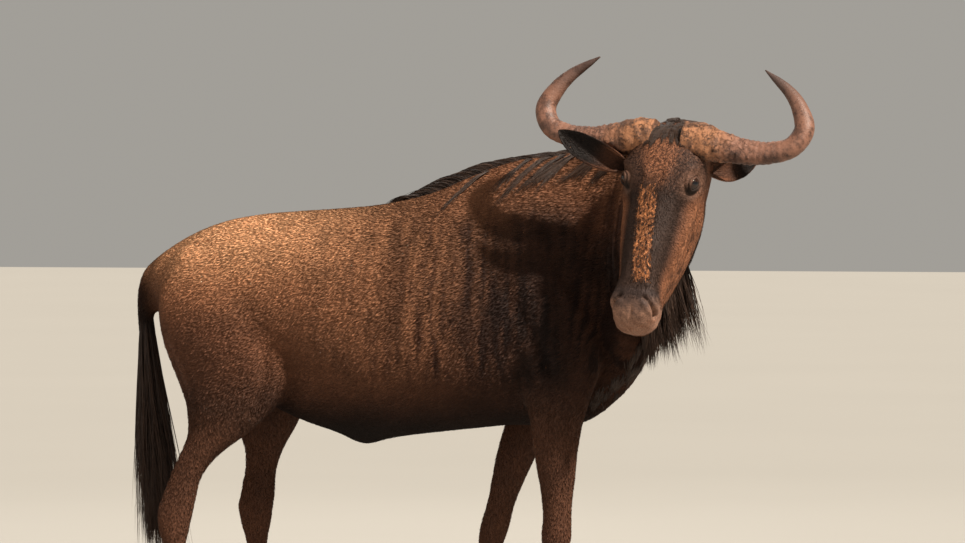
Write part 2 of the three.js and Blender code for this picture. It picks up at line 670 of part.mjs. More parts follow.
/**
 * The mane's locks along the crest from the withers to the poll. They rise from it, rake back
 * and fall over the far side of the neck, apart from a few that fall over the near side.
 */
function mane() {
  const rows = 34;
  return Array.from({ length: rows }, (_, i) => {
    const t = i / (rows - 1);
    const near = i % 4 === 3 && t > 0.3;
    const side = near ? -1 : 1;
    const angle = Math.PI / 2 - side * drawn(0, 0.16);
    const s = Math.min(0.97, 0.14 + (0.84 * (t - 0.38)) / 0.62);
    const onNeck = s > 0.14;
    const root = onNeck ? neckPoint(s, angle) : trunkPoint(30 + 640 * t, angle);
    const ahead = onNeck ? neckCurve.getTangentAt(s) : new THREE.Vector3(1, 0, 0);
    const across = new THREE.Vector3(-ahead.y, ahead.x, 0).multiplyScalar(side);
    const nape = Math.max(0, t - 0.6) / 0.4;
    const rake = 0.4 * nape - 0.5;
    const out = new THREE.Vector3(0, 0, 1).addScaledVector(across, 0.2).addScaledVector(ahead, rake);
    out.normalize();
    const fall = near ? 0.62 : 0.48 + 0.14 * t;
    const lie = mixed(across, DOWN, fall).addScaledVector(ahead, -0.9 + 0.4 * t).normalize();
    const full = near ? 130 : 90 + 120 * Math.sin(Math.PI * Math.min(1, 0.1 + t * 0.8));
    const length = full * drawn(0.85, 1.15);
    const width = drawn(25, 32);
    return { root, out, lie, length, width, sway: drawn(-0.16, 0.16), bend: 0.4 - 0.25 * nape };
  });
}

/** The beard's locks, hanging from the jaw. */
function beard() {
  const rows = 6;
  return Array.from({ length: rows * 3 }, (_, i) => {
    const t = Math.floor(i / 3) / (rows - 1);
    const place = (i % 3) - 1;
    const root = headPoint(355 - 175 * t + drawn(-8, 8), -Math.PI / 2 + place * drawn(0.1, 0.2));
    const out = headway(0.1, 0.9 * place, -1);
    const lie = DOWN.clone().addScaledVector(headway(0, place, 0), 0.05).normalize();
    const length = (165 + 90 * t) * drawn(0.85, 1.12);
    const sway = drawn(-0.16, 0.16);
    const bend = place ? 0.82 : 0.55;
    return { root: root.applyMatrix4(headFrame), out, lie, length, width: drawn(18, 24), sway, bend };
  });
}

/** The locks that carry the beard on down the throat. */
function throat() {
  return Array.from({ length: 9 }, (_, i) => {
    const root = neckPoint(0.72 - 0.03 * i, -Math.PI / 2 + drawn(-0.25, 0.25));
    const out = new THREE.Vector3(0.35, -0.2, -1).normalize();
    const length = drawn(95, 150) - 4 * i;
    return { root, out, lie: DOWN, length, width: drawn(18, 24), sway: drawn(-0.16, 0.16) };
  });
}

/** The tuft between the horns, lying down the face and back over the poll. */
function forelock() {
  return Array.from({ length: 9 }, (_, i) => {
    const v = -34 + 8.5 * i;
    const root = headPoint(drawn(2, 30), Math.PI / 2 - v / 95).applyMatrix4(headFrame);
    const out = headway(0, v / 90, 1);
    const lie = headway(i % 2 ? 1 : -1, v / 60, 0.25);
    const sway = drawn(-0.16, 0.16);
    return { root, out, lie, length: drawn(30, 42), width: 9, sway, thick: 5, bend: 0.6 };
  });
}

/** The tail's long tassel, round the lower part of the dock and past its end. */
function tassel() {
  const curve = smoothCurve(TAIL_WAY);
  const sizes = between(TAIL_GIRTH, "t");
  const rows = 5;
  return Array.from({ length: rows * 4 }, (_, i) => {
    const row = Math.floor(i / 4);
    const t = 0.56 + (0.42 * row) / (rows - 1);
    const angle = (i + 0.5 * row) * (Math.PI / 2) + drawn(-0.3, 0.3);
    const away = new THREE.Vector3(Math.cos(angle), Math.sin(angle), 0);
    const root = curve.getPointAt(t).addScaledVector(away, sizes(t).deep * 0.8);
    const lie = DOWN.clone().addScaledVector(away, 0.09).normalize();
    const sway = drawn(-0.16, 0.16);
    const out = mixed(away, lie, 0.6);
    return { root, out, lie, length: drawn(150, 200), width: drawn(11, 15), sway, bend: 0.8 };
  });
}

/** A slab a gap thick, reach past its upper end and past its lower end, to part a body across. */
function cut(high, low, width, reach) {
  const line = high.clone().sub(low).normalize();
  const top = high.clone().addScaledVector(line, reach[0]);
  const bottom = low.clone().addScaledVector(line, -reach[1]);
  const sideways = new THREE.Vector3(0, 1, 0);
  const slab = new THREE.BoxGeometry(width, top.distanceTo(bottom), GAP);
  const turn = new THREE.Matrix4().makeBasis(sideways, line, sideways.clone().cross(line));
  return solid(slab.applyMatrix4(turn.setPosition(top.lerp(bottom, 0.5))));
}

/** The cuts that part the trunk, the neck and the legs. */
function cuts() {
  const level = (from, to) => {
    const slab = new THREE.BoxGeometry(to - from, 520, GAP);
    return solid(slab.translate((from + to) / 2, 0, ELBOW_LEVEL));
  };
  const withers = new THREE.Vector3(430, 0, 1330);
  const breast = new THREE.Vector3(656, 0, 862);
  return joined([level(-612, -230), level(190, 560), cut(withers, breast, 700, [220, 60])]);
}

/** All that the head is hollowed by. */
function hollows() {
  const pairs = [1, -1].flatMap((side) => [nostril(side), eyeball(side, GAP), slit(side)]);
  return joined([mouth(), ...pairs]);
}

/** The animal's solids by name. */
function nodes() {
  const bare = headFlesh();
  const hair = [...beard(), ...forelock()];
  const head = largest(joined([bare, ...locks(hair)]).subtract(hollows()));
  const room = joined([grown(bare), ...locks(hair, 3 * GAP)]);
  const legs = Object.keys(LEG_WAYS).map(leg);
  const flesh = joined([trunk(), neck(), ...legs, ...locks(mane()), ...locks(throat())]);
  const below = new THREE.BoxGeometry(2600, 900, 400).translate(0, 0, HOOF_HEIGHT + GAP / 2 - 200);
  const pieces = flesh.subtract(room).subtract(cuts()).subtract(solid(below)).decompose();
  const places = {
    torso: [0, 0, 950],
    neck: [610, -60, 1150],
    leg_front_right: [420, -132, 330],
    leg_front_left: [240, 132, 330],
    leg_hind_right: [-560, -132, 330],
    leg_hind_left: [-390, 132, 330],
  };
  const named = { head };
  for (const [name, place] of Object.entries(places)) {
    const away = (piece) => {
      const { min, max } = piece.boundingBox();
      const middle = new THREE.Vector3(...min).add(new THREE.Vector3(...max)).multiplyScalar(0.5);
      return piece.volume() < 3e5 ? Infinity : middle.distanceTo(new THREE.Vector3(...place));
    };
    named[name] = pieces.reduce((a, b) => (away(b) < away(a) ? b : a));
  }
  named.tail = largest(joined([dock(), ...locks(tassel())]).subtract(grown(trunk())));
  for (const [word, side] of [["left", 1], ["right", -1]]) {
    named[`eye_${word}`] = eyeball(side);
    named[`horn_${word}`] = largest(horn(side).subtract(room));
    const clear = grown(named[`horn_${word}`]);
    named[`ear_${word}`] = largest(ear(word).subtract(room).subtract(grown(named.neck)).subtract(clear));
  }
  for (const name of Object.keys(LEG_WAYS)) named[`hoof_${name}`] = hoof(name);
  return named;
}

const COAT = { color: 0x4a2c1c, roughness: 0.85 };
const HORN = { color: 0x7a5242, roughness: 0.6 };
const HOOF = { color: 0x1c1715, roughness: 0.5 };
const EYEBALL = { color: 0x0d0907, roughness: 0.08 };

/** The finish of a node. */
function finish(name) {
  const looks = { horn: HORN, hoof: HOOF, eye: EYEBALL };
  return new THREE.MeshStandardMaterial({ metalness: 0, ...(looks[name.split("_")[0]] ?? COAT) });
}

const animal = new THREE.Group();
for (const [name, part] of Object.entries(nodes())) {
  const mesh = new THREE.Mesh(surface(part), finish(name));
  mesh.name = name;
  animal.add(mesh);
}

// The origin is on the floor under the middle of the animal's box.
const box = new THREE.Box3().setFromObject(animal);
const middle = box.getCenter(new THREE.Vector3());
for (const mesh of animal.children) mesh.position.set(-middle.x, -middle.y, -box.min.z);

export default animal;
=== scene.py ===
"""A wildebeest bull: one skin with its coat, long hair, horns, eyes and hooves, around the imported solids.

The forms come from sections in millimetres, in the animal's own frame (+X forward, +Y to its left,
+Z up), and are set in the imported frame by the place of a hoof.
"""
from __future__ import annotations

import logging
import math
from dataclasses import dataclass, field
from enum import Enum

import bpy
import numpy as np
from mathutils import Matrix, Vector, noise
from mathutils.bvhtree import BVHTree

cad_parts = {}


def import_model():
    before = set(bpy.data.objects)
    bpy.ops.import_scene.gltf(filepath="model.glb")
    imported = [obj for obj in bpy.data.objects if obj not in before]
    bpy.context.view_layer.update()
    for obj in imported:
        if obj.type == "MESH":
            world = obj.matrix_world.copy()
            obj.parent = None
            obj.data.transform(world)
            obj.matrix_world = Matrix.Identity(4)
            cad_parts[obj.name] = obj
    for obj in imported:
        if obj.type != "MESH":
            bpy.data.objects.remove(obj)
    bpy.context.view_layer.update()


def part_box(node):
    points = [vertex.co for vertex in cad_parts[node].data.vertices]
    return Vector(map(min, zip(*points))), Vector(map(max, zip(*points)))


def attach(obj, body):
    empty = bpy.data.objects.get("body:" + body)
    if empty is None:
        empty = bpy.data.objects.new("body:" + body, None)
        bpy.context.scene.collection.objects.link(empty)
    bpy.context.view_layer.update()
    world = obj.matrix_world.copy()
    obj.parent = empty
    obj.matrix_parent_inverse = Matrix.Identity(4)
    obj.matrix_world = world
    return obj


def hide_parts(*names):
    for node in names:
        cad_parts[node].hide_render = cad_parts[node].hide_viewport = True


MM = 0.001
LOG = logging.getLogger("wildebeest")

# How each region of flesh is known, in the order of the weights that every point of skin has.
TRUNK, NECK, HEAD, FORE_RIGHT, FORE_LEFT, HIND_RIGHT, HIND_LEFT, TAIL, EAR = range(9)


class Side(Enum):
    """The animal's left and right, with the sign of Y that each has."""

    LEFT = 1
    RIGHT = -1

    @property
    def word(self) -> str:
        """The side's name in lower case."""
        return self.name.lower()


def unit(vectors: np.ndarray) -> np.ndarray:
    """Vectors made one long."""
    return vectors / np.maximum(np.linalg.norm(vectors, axis=-1, keepdims=True), 1e-12)


def step(low: float, high: float, value: np.ndarray) -> np.ndarray:
    """A smooth rise from 0 at low to 1 at high."""
    t = np.clip((value - low) / (high - low), 0, 1)
    return t * t * (3 - 2 * t)


def bell(value: np.ndarray, middle: float, width: float) -> np.ndarray:
    """A smooth bump that is 1 at the middle."""
    return np.exp(-(((value - middle) / width) ** 2))


def laid(base: np.ndarray, colour: tuple | np.ndarray, share: np.ndarray) -> np.ndarray:
    """A colour laid over another by a share at each point."""
    return base + (np.array(colour) - base) * np.clip(share, 0, 1)[:, None]


def between(rows: np.ndarray, at: np.ndarray) -> np.ndarray:
    """Reads a table smoothly.

    Args:
        rows: one row for each known place, its first column the place itself.
        at: the places to read.

    Returns:
        The other columns at each place.
    """
    rows = rows[np.argsort(rows[:, 0])]
    places, values = rows[:, 0], rows[:, 1:]
    slopes = np.gradient(values, places, axis=0)
    at = np.clip(np.atleast_1d(at), places[0], places[-1])
    i = np.clip(np.searchsorted(places, at, side="right") - 1, 0, len(places) - 2)
    gap = (places[i + 1] - places[i])[:, None]
    t = ((at - places[i]) / gap[:, 0])[:, None]
    return (
        (2 * t**3 - 3 * t**2 + 1) * values[i]
        + (t**3 - 2 * t**2 + t) * gap * slopes[i]
        + (3 * t**2 - 2 * t**3) * values[i + 1]
        + (t**3 - t**2) * gap * slopes[i + 1]
    )


class Way:
    """A smooth line through points, read by its share of the length."""

    def __init__(self, points: list[tuple[float, ...]]) -> None:
        """Lays the line.

        Args:
            points: the points that it passes through.
        """
        known = np.array(points, float)
        known = np.vstack([2 * known[0] - known[1], known, 2 * known[-1] - known[-2]])
        knots = np.concatenate([[0], np.cumsum(np.sqrt(np.linalg.norm(np.diff(known, axis=0), axis=1)))])
        fine = []
        for i in range(1, len(known) - 2):
            t = np.linspace(knots[i], knots[i + 1], 24, endpoint=i == len(known) - 3)[:, None]
            k0, k1, k2, k3 = knots[i - 1 : i + 3]
            p0, p1, p2, p3 = known[i - 1 : i + 3]
            a1 = ((k1 - t) * p0 + (t - k0) * p1) / (k1 - k0)
            a2 = ((k2 - t) * p1 + (t - k1) * p2) / (k2 - k1)
            a3 = ((k3 - t) * p2 + (t - k2) * p3) / (k3 - k2)
            b1 = ((k2 - t) * a1 + (t - k0) * a2) / (k2 - k0)
            b2 = ((k3 - t) * a2 + (t - k1) * a3) / (k3 - k1)
            fine.append(((k2 - t) * b1 + (t - k1) * b2) / (k2 - k1))
        self.points = np.vstack(fine)
        lengths = np.linalg.norm(np.diff(self.points, axis=0), axis=1)
        self.marks = np.concatenate([[0], np.cumsum(lengths)])
        self.length = self.marks[-1]

    def at(self, share: np.ndarray) -> np.ndarray:
        """The points at shares of the length."""
        place = np.atleast_1d(share) * self.length
        return np.stack([np.interp(place, self.marks, column) for column in self.points.T], axis=1)

    def ahead(self, share: np.ndarray) -> np.ndarray:
        """The directions at shares of the length."""
        share = np.atleast_1d(share)
        return unit(self.at(np.minimum(share + 0.01, 1)) - self.at(np.maximum(share - 0.01, 0)))

    def nearest(self, points: np.ndarray) -> np.ndarray:
        """The share of the line's length that is nearest to each point."""
        shares = np.linspace(0, 1, 60)
        marks = self.at(shares)
        away = ((points[:, None, : marks.shape[1]] - marks[None]) ** 2).sum(-1)
        return shares[away.argmin(1)]

    def rings(self, girth: np.ndarray, count: int, sides: int) -> np.ndarray:
        """Rings of points round the line.

        Args:
            girth: rows of share, half depth and half thickness.
            count: how many rings.
            sides: how many points each has.

        Returns:
            The points, ring by ring.
        """
        shares = np.linspace(0, 1, count)
        middles, heads, sizes = self.at(shares), self.ahead(shares), between(girth, shares)
        out = np.cross(heads[0], np.eye(3)[np.argmin(np.abs(heads[0]))])
        turns = np.linspace(0, 2 * math.pi, sides, endpoint=False)
        rings = []
        for middle, head, (deep, thick) in zip(middles, heads, sizes):
            out = unit(out - head * (out @ head))
            beside = np.cross(head, out)
            rings.append(
                middle + deep * np.cos(turns)[:, None] * out + thick * np.sin(turns)[:, None] * beside
            )
        return np.array(rings)


def egg(sections: np.ndarray, turns: np.ndarray) -> tuple[np.ndarray, np.ndarray]:
    """Egg-shaped sections: how far sideways and how high their points lie.

    Args:
        sections: columns top, bottom, wide, half, crown and keel, one row a section.
        turns: the angles round each.

    Returns:
        The sideways and the upward places, one row a section.
    """
    top, bottom, wide, half, crown, keel = (column[:, None] for column in sections.T)
    across, rise = np.cos(turns)[None], np.sin(turns)[None]
    power = 2 / np.where(rise > 0, crown, keel)
    reach = np.where(rise > 0, top - wide, wide - bottom)
    side = half * np.sign(across) * np.abs(across) ** power
    return side, wide + reach * np.sign(rise) * np.abs(rise) ** power


@dataclass(frozen=True)
class Swell:
    """A muscle or a bone that stands out near a point, or a hollow, alike on both sides."""

    at: tuple[float, float, float]
    spread: tuple[float, float, float]
    push: float

    def reach(self, points: np.ndarray) -> np.ndarray:
        """How far each point is pushed out."""
        away = (points * (1, 0, 1) + np.abs(points) * (0, 1, 0) - self.at) / self.spread
        return self.push * np.exp(-(away**2).sum(1))


@dataclass(frozen=True)
class Fold:
    """A ridge or a groove along a line of points, alike on both sides unless it has one side."""

    line: tuple[tuple[float, float, float], ...]
    width: float
    push: float
    both: bool = True

    def reach(self, points: np.ndarray) -> np.ndarray:
        """How far each point is pushed out."""
        here = np.abs(points) * (0, 1, 0) + points * (1, 0, 1) if self.both else points
        near = np.full(len(points), np.inf)
        for a, b in zip(self.line[:-1], self.line[1:]):
            a, b = np.array(a, float), np.array(b, float)
            share = np.clip((here - a) @ (b - a) / ((b - a) @ (b - a)), 0, 1)
            near = np.minimum(near, np.linalg.norm(here - a - share[:, None] * (b - a), axis=1))
        return self.push * np.exp(-((near / self.width) ** 2))


class Bench:
    """Small steps of modelling that the pieces share."""

    @staticmethod
    def only(*pieces: bpy.types.Object) -> None:
        """Selects these pieces alone, the first one active."""
        if bpy.context.object and bpy.context.object.mode != "OBJECT":
            bpy.ops.object.mode_set(mode="OBJECT")
        bpy.ops.object.select_all(action="DESELECT")
        for piece in pieces:
            piece.select_set(True)
        if pieces:
            bpy.context.view_layer.objects.active = pieces[0]

    @staticmethod
    def lofted(name: str, rings: np.ndarray) -> bpy.types.Object:
        """A closed body through rings of points, from a round face pulled out ring by ring.

        Args:
            name: the body's name.
            rings: the points in millimetres, ring by ring.

        Returns:
            The body, in metres.
        """
        count, sides = rings.shape[:2]
        Bench.only()
        bpy.ops.mesh.primitive_circle_add(vertices=sides, radius=1, fill_type="NGON")
        body = bpy.context.object
        body.name = name
        bpy.ops.object.mode_set(mode="EDIT")
        bpy.ops.mesh.select_all(action="SELECT")
        for _ in range(count - 1):
            bpy.ops.mesh.extrude_region_move(TRANSFORM_OT_translate={"value": (0, 0, 1)})
        bpy.ops.object.mode_set(mode="OBJECT")
        places = Bench.places(body)
        ring = np.rint(places[:, 2]).astype(int)
        turn = np.arctan2(places[:, 1], places[:, 0]) / (2 * math.pi) * sides
        Bench.place(body, rings[ring, np.rint(turn).astype(int) % sides] * MM)
        Bench.outward(body)
        return body

    @staticmethod
    def outward(piece: bpy.types.Object) -> None:
        """Turns all faces of a closed piece outwards."""
        Bench.only(piece)
        bpy.ops.object.mode_set(mode="EDIT")
        bpy.ops.mesh.select_all(action="SELECT")
        bpy.ops.mesh.normals_make_consistent(inside=False)
        bpy.ops.object.mode_set(mode="OBJECT")

    @staticmethod
    def places(piece: bpy.types.Object) -> np.ndarray:
        """A piece's points."""
        flat = np.empty(len(piece.data.vertices) * 3, np.float32)
        piece.data.vertices.foreach_get("co", flat)
        return flat.reshape(-1, 3).astype(float)

    @staticmethod
    def normals(piece: bpy.types.Object) -> np.ndarray:
        """A piece's directions outwards, point by point."""
        flat = np.empty(len(piece.data.vertices) * 3, np.float32)
        piece.data.vertex_normals.foreach_get("vector", flat)
        return flat.reshape(-1, 3).astype(float)

    @staticmethod
    def place(piece: bpy.types.Object, places: np.ndarray) -> None:
        """Moves a piece's points."""
        piece.data.vertices.foreach_set("co", places.astype(np.float32).ravel())
        piece.data.update()

    @staticmethod
    def modified(piece: bpy.types.Object, kind: str, **settings: object) -> None:
        """Adds a modifier with its settings and applies it."""
        Bench.only(piece)
        bpy.ops.object.modifier_add(type=kind)
        modifier = piece.modifiers[-1]
        for name, value in settings.items():
            setattr(modifier, name, value)
        bpy.ops.object.modifier_apply(modifier=modifier.name)

    @staticmethod
    def middles(piece: bpy.types.Object) -> np.ndarray:
        """The middle of each of a piece's faces."""
        flat = np.empty(len(piece.data.polygons) * 3, np.float32)
        piece.data.polygons.foreach_get("center", flat)
        return flat.reshape(-1, 3)

    @staticmethod
    def ordered(piece: bpy.types.Object, before: np.ndarray) -> None:
        """Lists the faces that a union made by their points, because it lists them differently each time.

        Args:
            piece: the piece, whose mesh is made anew.
            before: the middles of its faces before the union, which leaves most alone and lists them first.
        """
        after = Bench.middles(piece)
        alone = 0
        for middle in before:
            if alone < len(after) and np.abs(middle - after[alone]).max() < 0.01 * MM:
                alone += 1
        faces = []
        for face in piece.data.polygons:
            corners = list(face.vertices)
            first = 0 if face.index < alone else corners.index(min(corners))
            faces.append(tuple(corners[first:] + corners[:first]))
        old = piece.data
        mesh = bpy.data.meshes.new(piece.name)
        faces = faces[:alone] + sorted(faces[alone:])
        mesh.from_pydata([tuple(place) for place in Bench.places(piece)], [], faces)
        piece.data = mesh
        bpy.data.meshes.remove(old)

    @staticmethod
    def joined(name: str, pieces: list[bpy.types.Object]) -> bpy.types.Object:
        """Several pieces as one object."""
        Bench.only(*pieces)
        bpy.ops.object.join()
        piece = bpy.context.object
        piece.name = name
        return piece

    @staticmethod
    def subdivided(piece: bpy.types.Object, chosen: np.ndarray) -> None:
        """Splits the faces whose points are all chosen.

        Args:
            piece: the piece.
            chosen: whether each of its points is chosen.
        """
        Bench.only(piece)
        bpy.ops.object.mode_set(mode="EDIT")
        bpy.ops.mesh.select_all(action="DESELECT")
        bpy.ops.object.mode_set(mode="OBJECT")
        piece.data.vertices.foreach_set("select", chosen)
        bpy.ops.object.mode_set(mode="EDIT")
        bpy.ops.mesh.select_mode(type="VERT")
        bpy.ops.mesh.subdivide(number_cuts=1, smoothness=0)
        bpy.ops.object.mode_set(mode="OBJECT")

    @staticmethod
    def smoothed(piece: bpy.types.Object) -> None:
        """Shades a piece smoothly."""
        Bench.only(piece)
        bpy.ops.object.shade_smooth()

    @staticmethod
    def tree(piece: bpy.types.Object) -> BVHTree:
        """A search tree of a piece's faces."""
        faces = [tuple(face.vertices) for face in piece.data.polygons]
        return BVHTree.FromPolygons([tuple(p) for p in Bench.places(piece)], faces)

    @staticmethod
    def sheet_of(name: str, places: np.ndarray, faces: list[np.ndarray]) -> bpy.types.Object:
        """Many small closed bodies as one object.

        Args:
            name: the object's name.
            places: all points, in metres.
            faces: arrays of triangles and of quads, by point.

        Returns:
            The object.
        """
        mesh = bpy.data.meshes.new(name)
        mesh.vertices.add(len(places))
        mesh.vertices.foreach_set("co", places.astype(np.float32).ravel())
        corners = np.concatenate([f.ravel() for f in faces]).astype(np.int32)
        sizes = np.concatenate([np.full(len(f), f.shape[1]) for f in faces])
        mesh.loops.add(len(corners))
        mesh.loops.foreach_set("vertex_index", corners)
        mesh.polygons.add(len(sizes))
        starts = np.concatenate([[0], np.cumsum(sizes)[:-1]]).astype(np.int32)
        mesh.polygons.foreach_set("loop_start", starts)
        mesh.update(calc_edges=True)
        mesh.shade_smooth()
        piece = bpy.data.objects.new(name, mesh)
        bpy.context.scene.collection.objects.link(piece)
        return piece

    @staticmethod
    def mark(piece: bpy.types.Object, name: str, values: np.ndarray) -> None:
        """Stores a number, a vector or a colour at each point of a piece."""
        values = np.asarray(values, np.float32)
        kind = {1: "FLOAT", 3: "FLOAT_VECTOR", 4: "FLOAT_COLOR"}[1 if values.ndim == 1 else values.shape[1]]
        slot = {"FLOAT": "value", "FLOAT_VECTOR": "vector", "FLOAT_COLOR": "color"}[kind]
        attribute = piece.data.attributes.new(name, kind, "POINT")
        attribute.data.foreach_set(slot, values.ravel())


class Socket:
    """A value in a shader, for sums written as plain expressions."""

    def __init__(self, shader: "Shader", output: object) -> None:
        """Wraps a node's output, or a plain number."""
        self.shader, self.output = shader, output

    def _with(self, operation: str, *others: object) -> "Socket":
        """A Math node of this value and others."""
        return self.shader.node("ShaderNodeMath", {"operation": operation}, [self, *others])

    def __add__(self, other: object) -> "Socket":
        """This value and another."""
        return self._with("ADD", other)

    def __radd__(self, other: object) -> "Socket":
        """Another value and this."""
        return self._with("ADD", other)

    def __sub__(self, other: object) -> "Socket":
        """This value less another."""
        return self._with("SUBTRACT", other)

    def __rsub__(self, other: object) -> "Socket":
        """Another value less this."""
        return self.shader.node("ShaderNodeMath", {"operation": "SUBTRACT"}, [other, self])

    def __mul__(self, other: object) -> "Socket":
        """This value times another."""
        return self._with("MULTIPLY", other)

    def __rmul__(self, other: object) -> "Socket":
        """Another value times this."""
        return self._with("MULTIPLY", other)

    def __pow__(self, other: object) -> "Socket":
        """This value to a power."""
        return self._with("POWER", other)

    def rising(self, low: float, high: float) -> "Socket":
        """0 below low, 1 above high and smooth between."""
        settings = {"interpolation_type": "SMOOTHSTEP"}
        inputs = {"Value": self, "From Min": low, "From Max": high}
        return self.shader.node("ShaderNodeMapRange", settings, inputs)


class Shader:
    """A material's nodes, made in order."""

    def __init__(self, name: str) -> None:
        """Starts a material with its surface shader."""
        self.material = bpy.data.materials.new(name)
        self.material.use_nodes = True
        self.tree = self.material.node_tree
        self.surface = next(n for n in self.tree.nodes if n.type == "BSDF_PRINCIPLED")

    def node(self, kind: str, settings: dict, inputs: object = (), output: str | int = 0) -> Socket:
        """Adds a node.

        Args:
            kind: the node's type.
            settings: its own settings, and the stops of a ramp under "stops".
            inputs: values or sockets, by place or by name.
            output: which of its outputs to give back.

        Returns:
            That output.
        """
        made = self.tree.nodes.new(kind)
        for name, value in settings.items():
            if name == "stops":
                self._stops(made, value)
            else:
                setattr(made, name, value)
        pairs = inputs.items() if isinstance(inputs, dict) else enumerate(inputs)
        for name, value in pairs:
            self.feed(made.inputs[name], value)
        return Socket(self, made.outputs[output])

    def feed(self, socket: object, value: object) -> None:
        """Links a socket, or sets it to a plain value."""
        if isinstance(value, Socket):
            self.tree.links.new(value.output, socket)
        else:
            socket.default_value = value

    @staticmethod
    def _stops(ramp: object, stops: list[tuple[float, tuple[float, ...]]]) -> None:
        """Sets a ramp's stops."""
        line = ramp.color_ramp.elements
        while len(line) > len(stops):
            line.remove(line[-1])
        while len(line) < len(stops):
            line.new(1)
        for element, (place, colour) in zip(line, stops):
            element.position, element.color = place, (*colour, 1)

    def where(self) -> Socket:
        """The place on the object."""
        return self.node("ShaderNodeTexCoord", {}, (), "Object")

    def stored(self, name: str, output: str = "Fac") -> Socket:
        """A value stored on the points."""
        return self.node("ShaderNodeAttribute", {"attribute_name": name}, (), output)

    def noise(self, where: Socket, scale: float, detail: float = 3, rough: float = 0.55) -> Socket:
        """Cloudy noise."""
        inputs = {"Vector": where, "Scale": scale, "Detail": detail, "Roughness": rough}
        return self.node("ShaderNodeTexNoise", {}, inputs, "Fac")

    def stretched(self, where: Socket, scale: tuple[float, float, float],
                  turn: tuple[float, ...] = (0, 0, 0)) -> Socket:
        """A place turned and stretched for a pattern."""
        return self.node("ShaderNodeMapping", {}, {"Vector": where, "Rotation": turn, "Scale": scale})

    def mixed(self, share: object, first: object, second: object, blend: str = "MIX") -> Socket:
        """Two colours mixed by a share."""
        made = self.tree.nodes.new("ShaderNodeMix")
        made.data_type, made.blend_type = "RGBA", blend
        colours = [socket for socket in made.inputs if socket.type == "RGBA"]
        self.feed(made.inputs[0], share)
        for socket, value in zip(colours, (first, second)):
            self.feed(socket, value if isinstance(value, Socket) else (*value, 1))
        return Socket(self, next(o for o in made.outputs if o.type == "RGBA"))

    def finish(self, colour: Socket, rough: object, bump: Socket | None, depth: float,
               **constants: float) -> None:
        """Feeds the surface.

        Args:
            colour: its colour.
            rough: its roughness.
            bump: its height, or nothing.
            depth: how deep the bump is, in metres.
            constants: values of other sockets, with spaces as underscores.
        """
        self.feed(self.surface.inputs["Base Color"], colour)
        self.feed(self.surface.inputs["Roughness"], rough)
        if bump:
            inputs = {"Height": bump, "Strength": 1.0, "Distance": depth}
            self.feed(self.surface.inputs["Normal"], self.node("ShaderNodeBump", {}, inputs))
        for name, value in constants.items():
            self.surface.inputs[name.replace("_", " ")].default_value = value


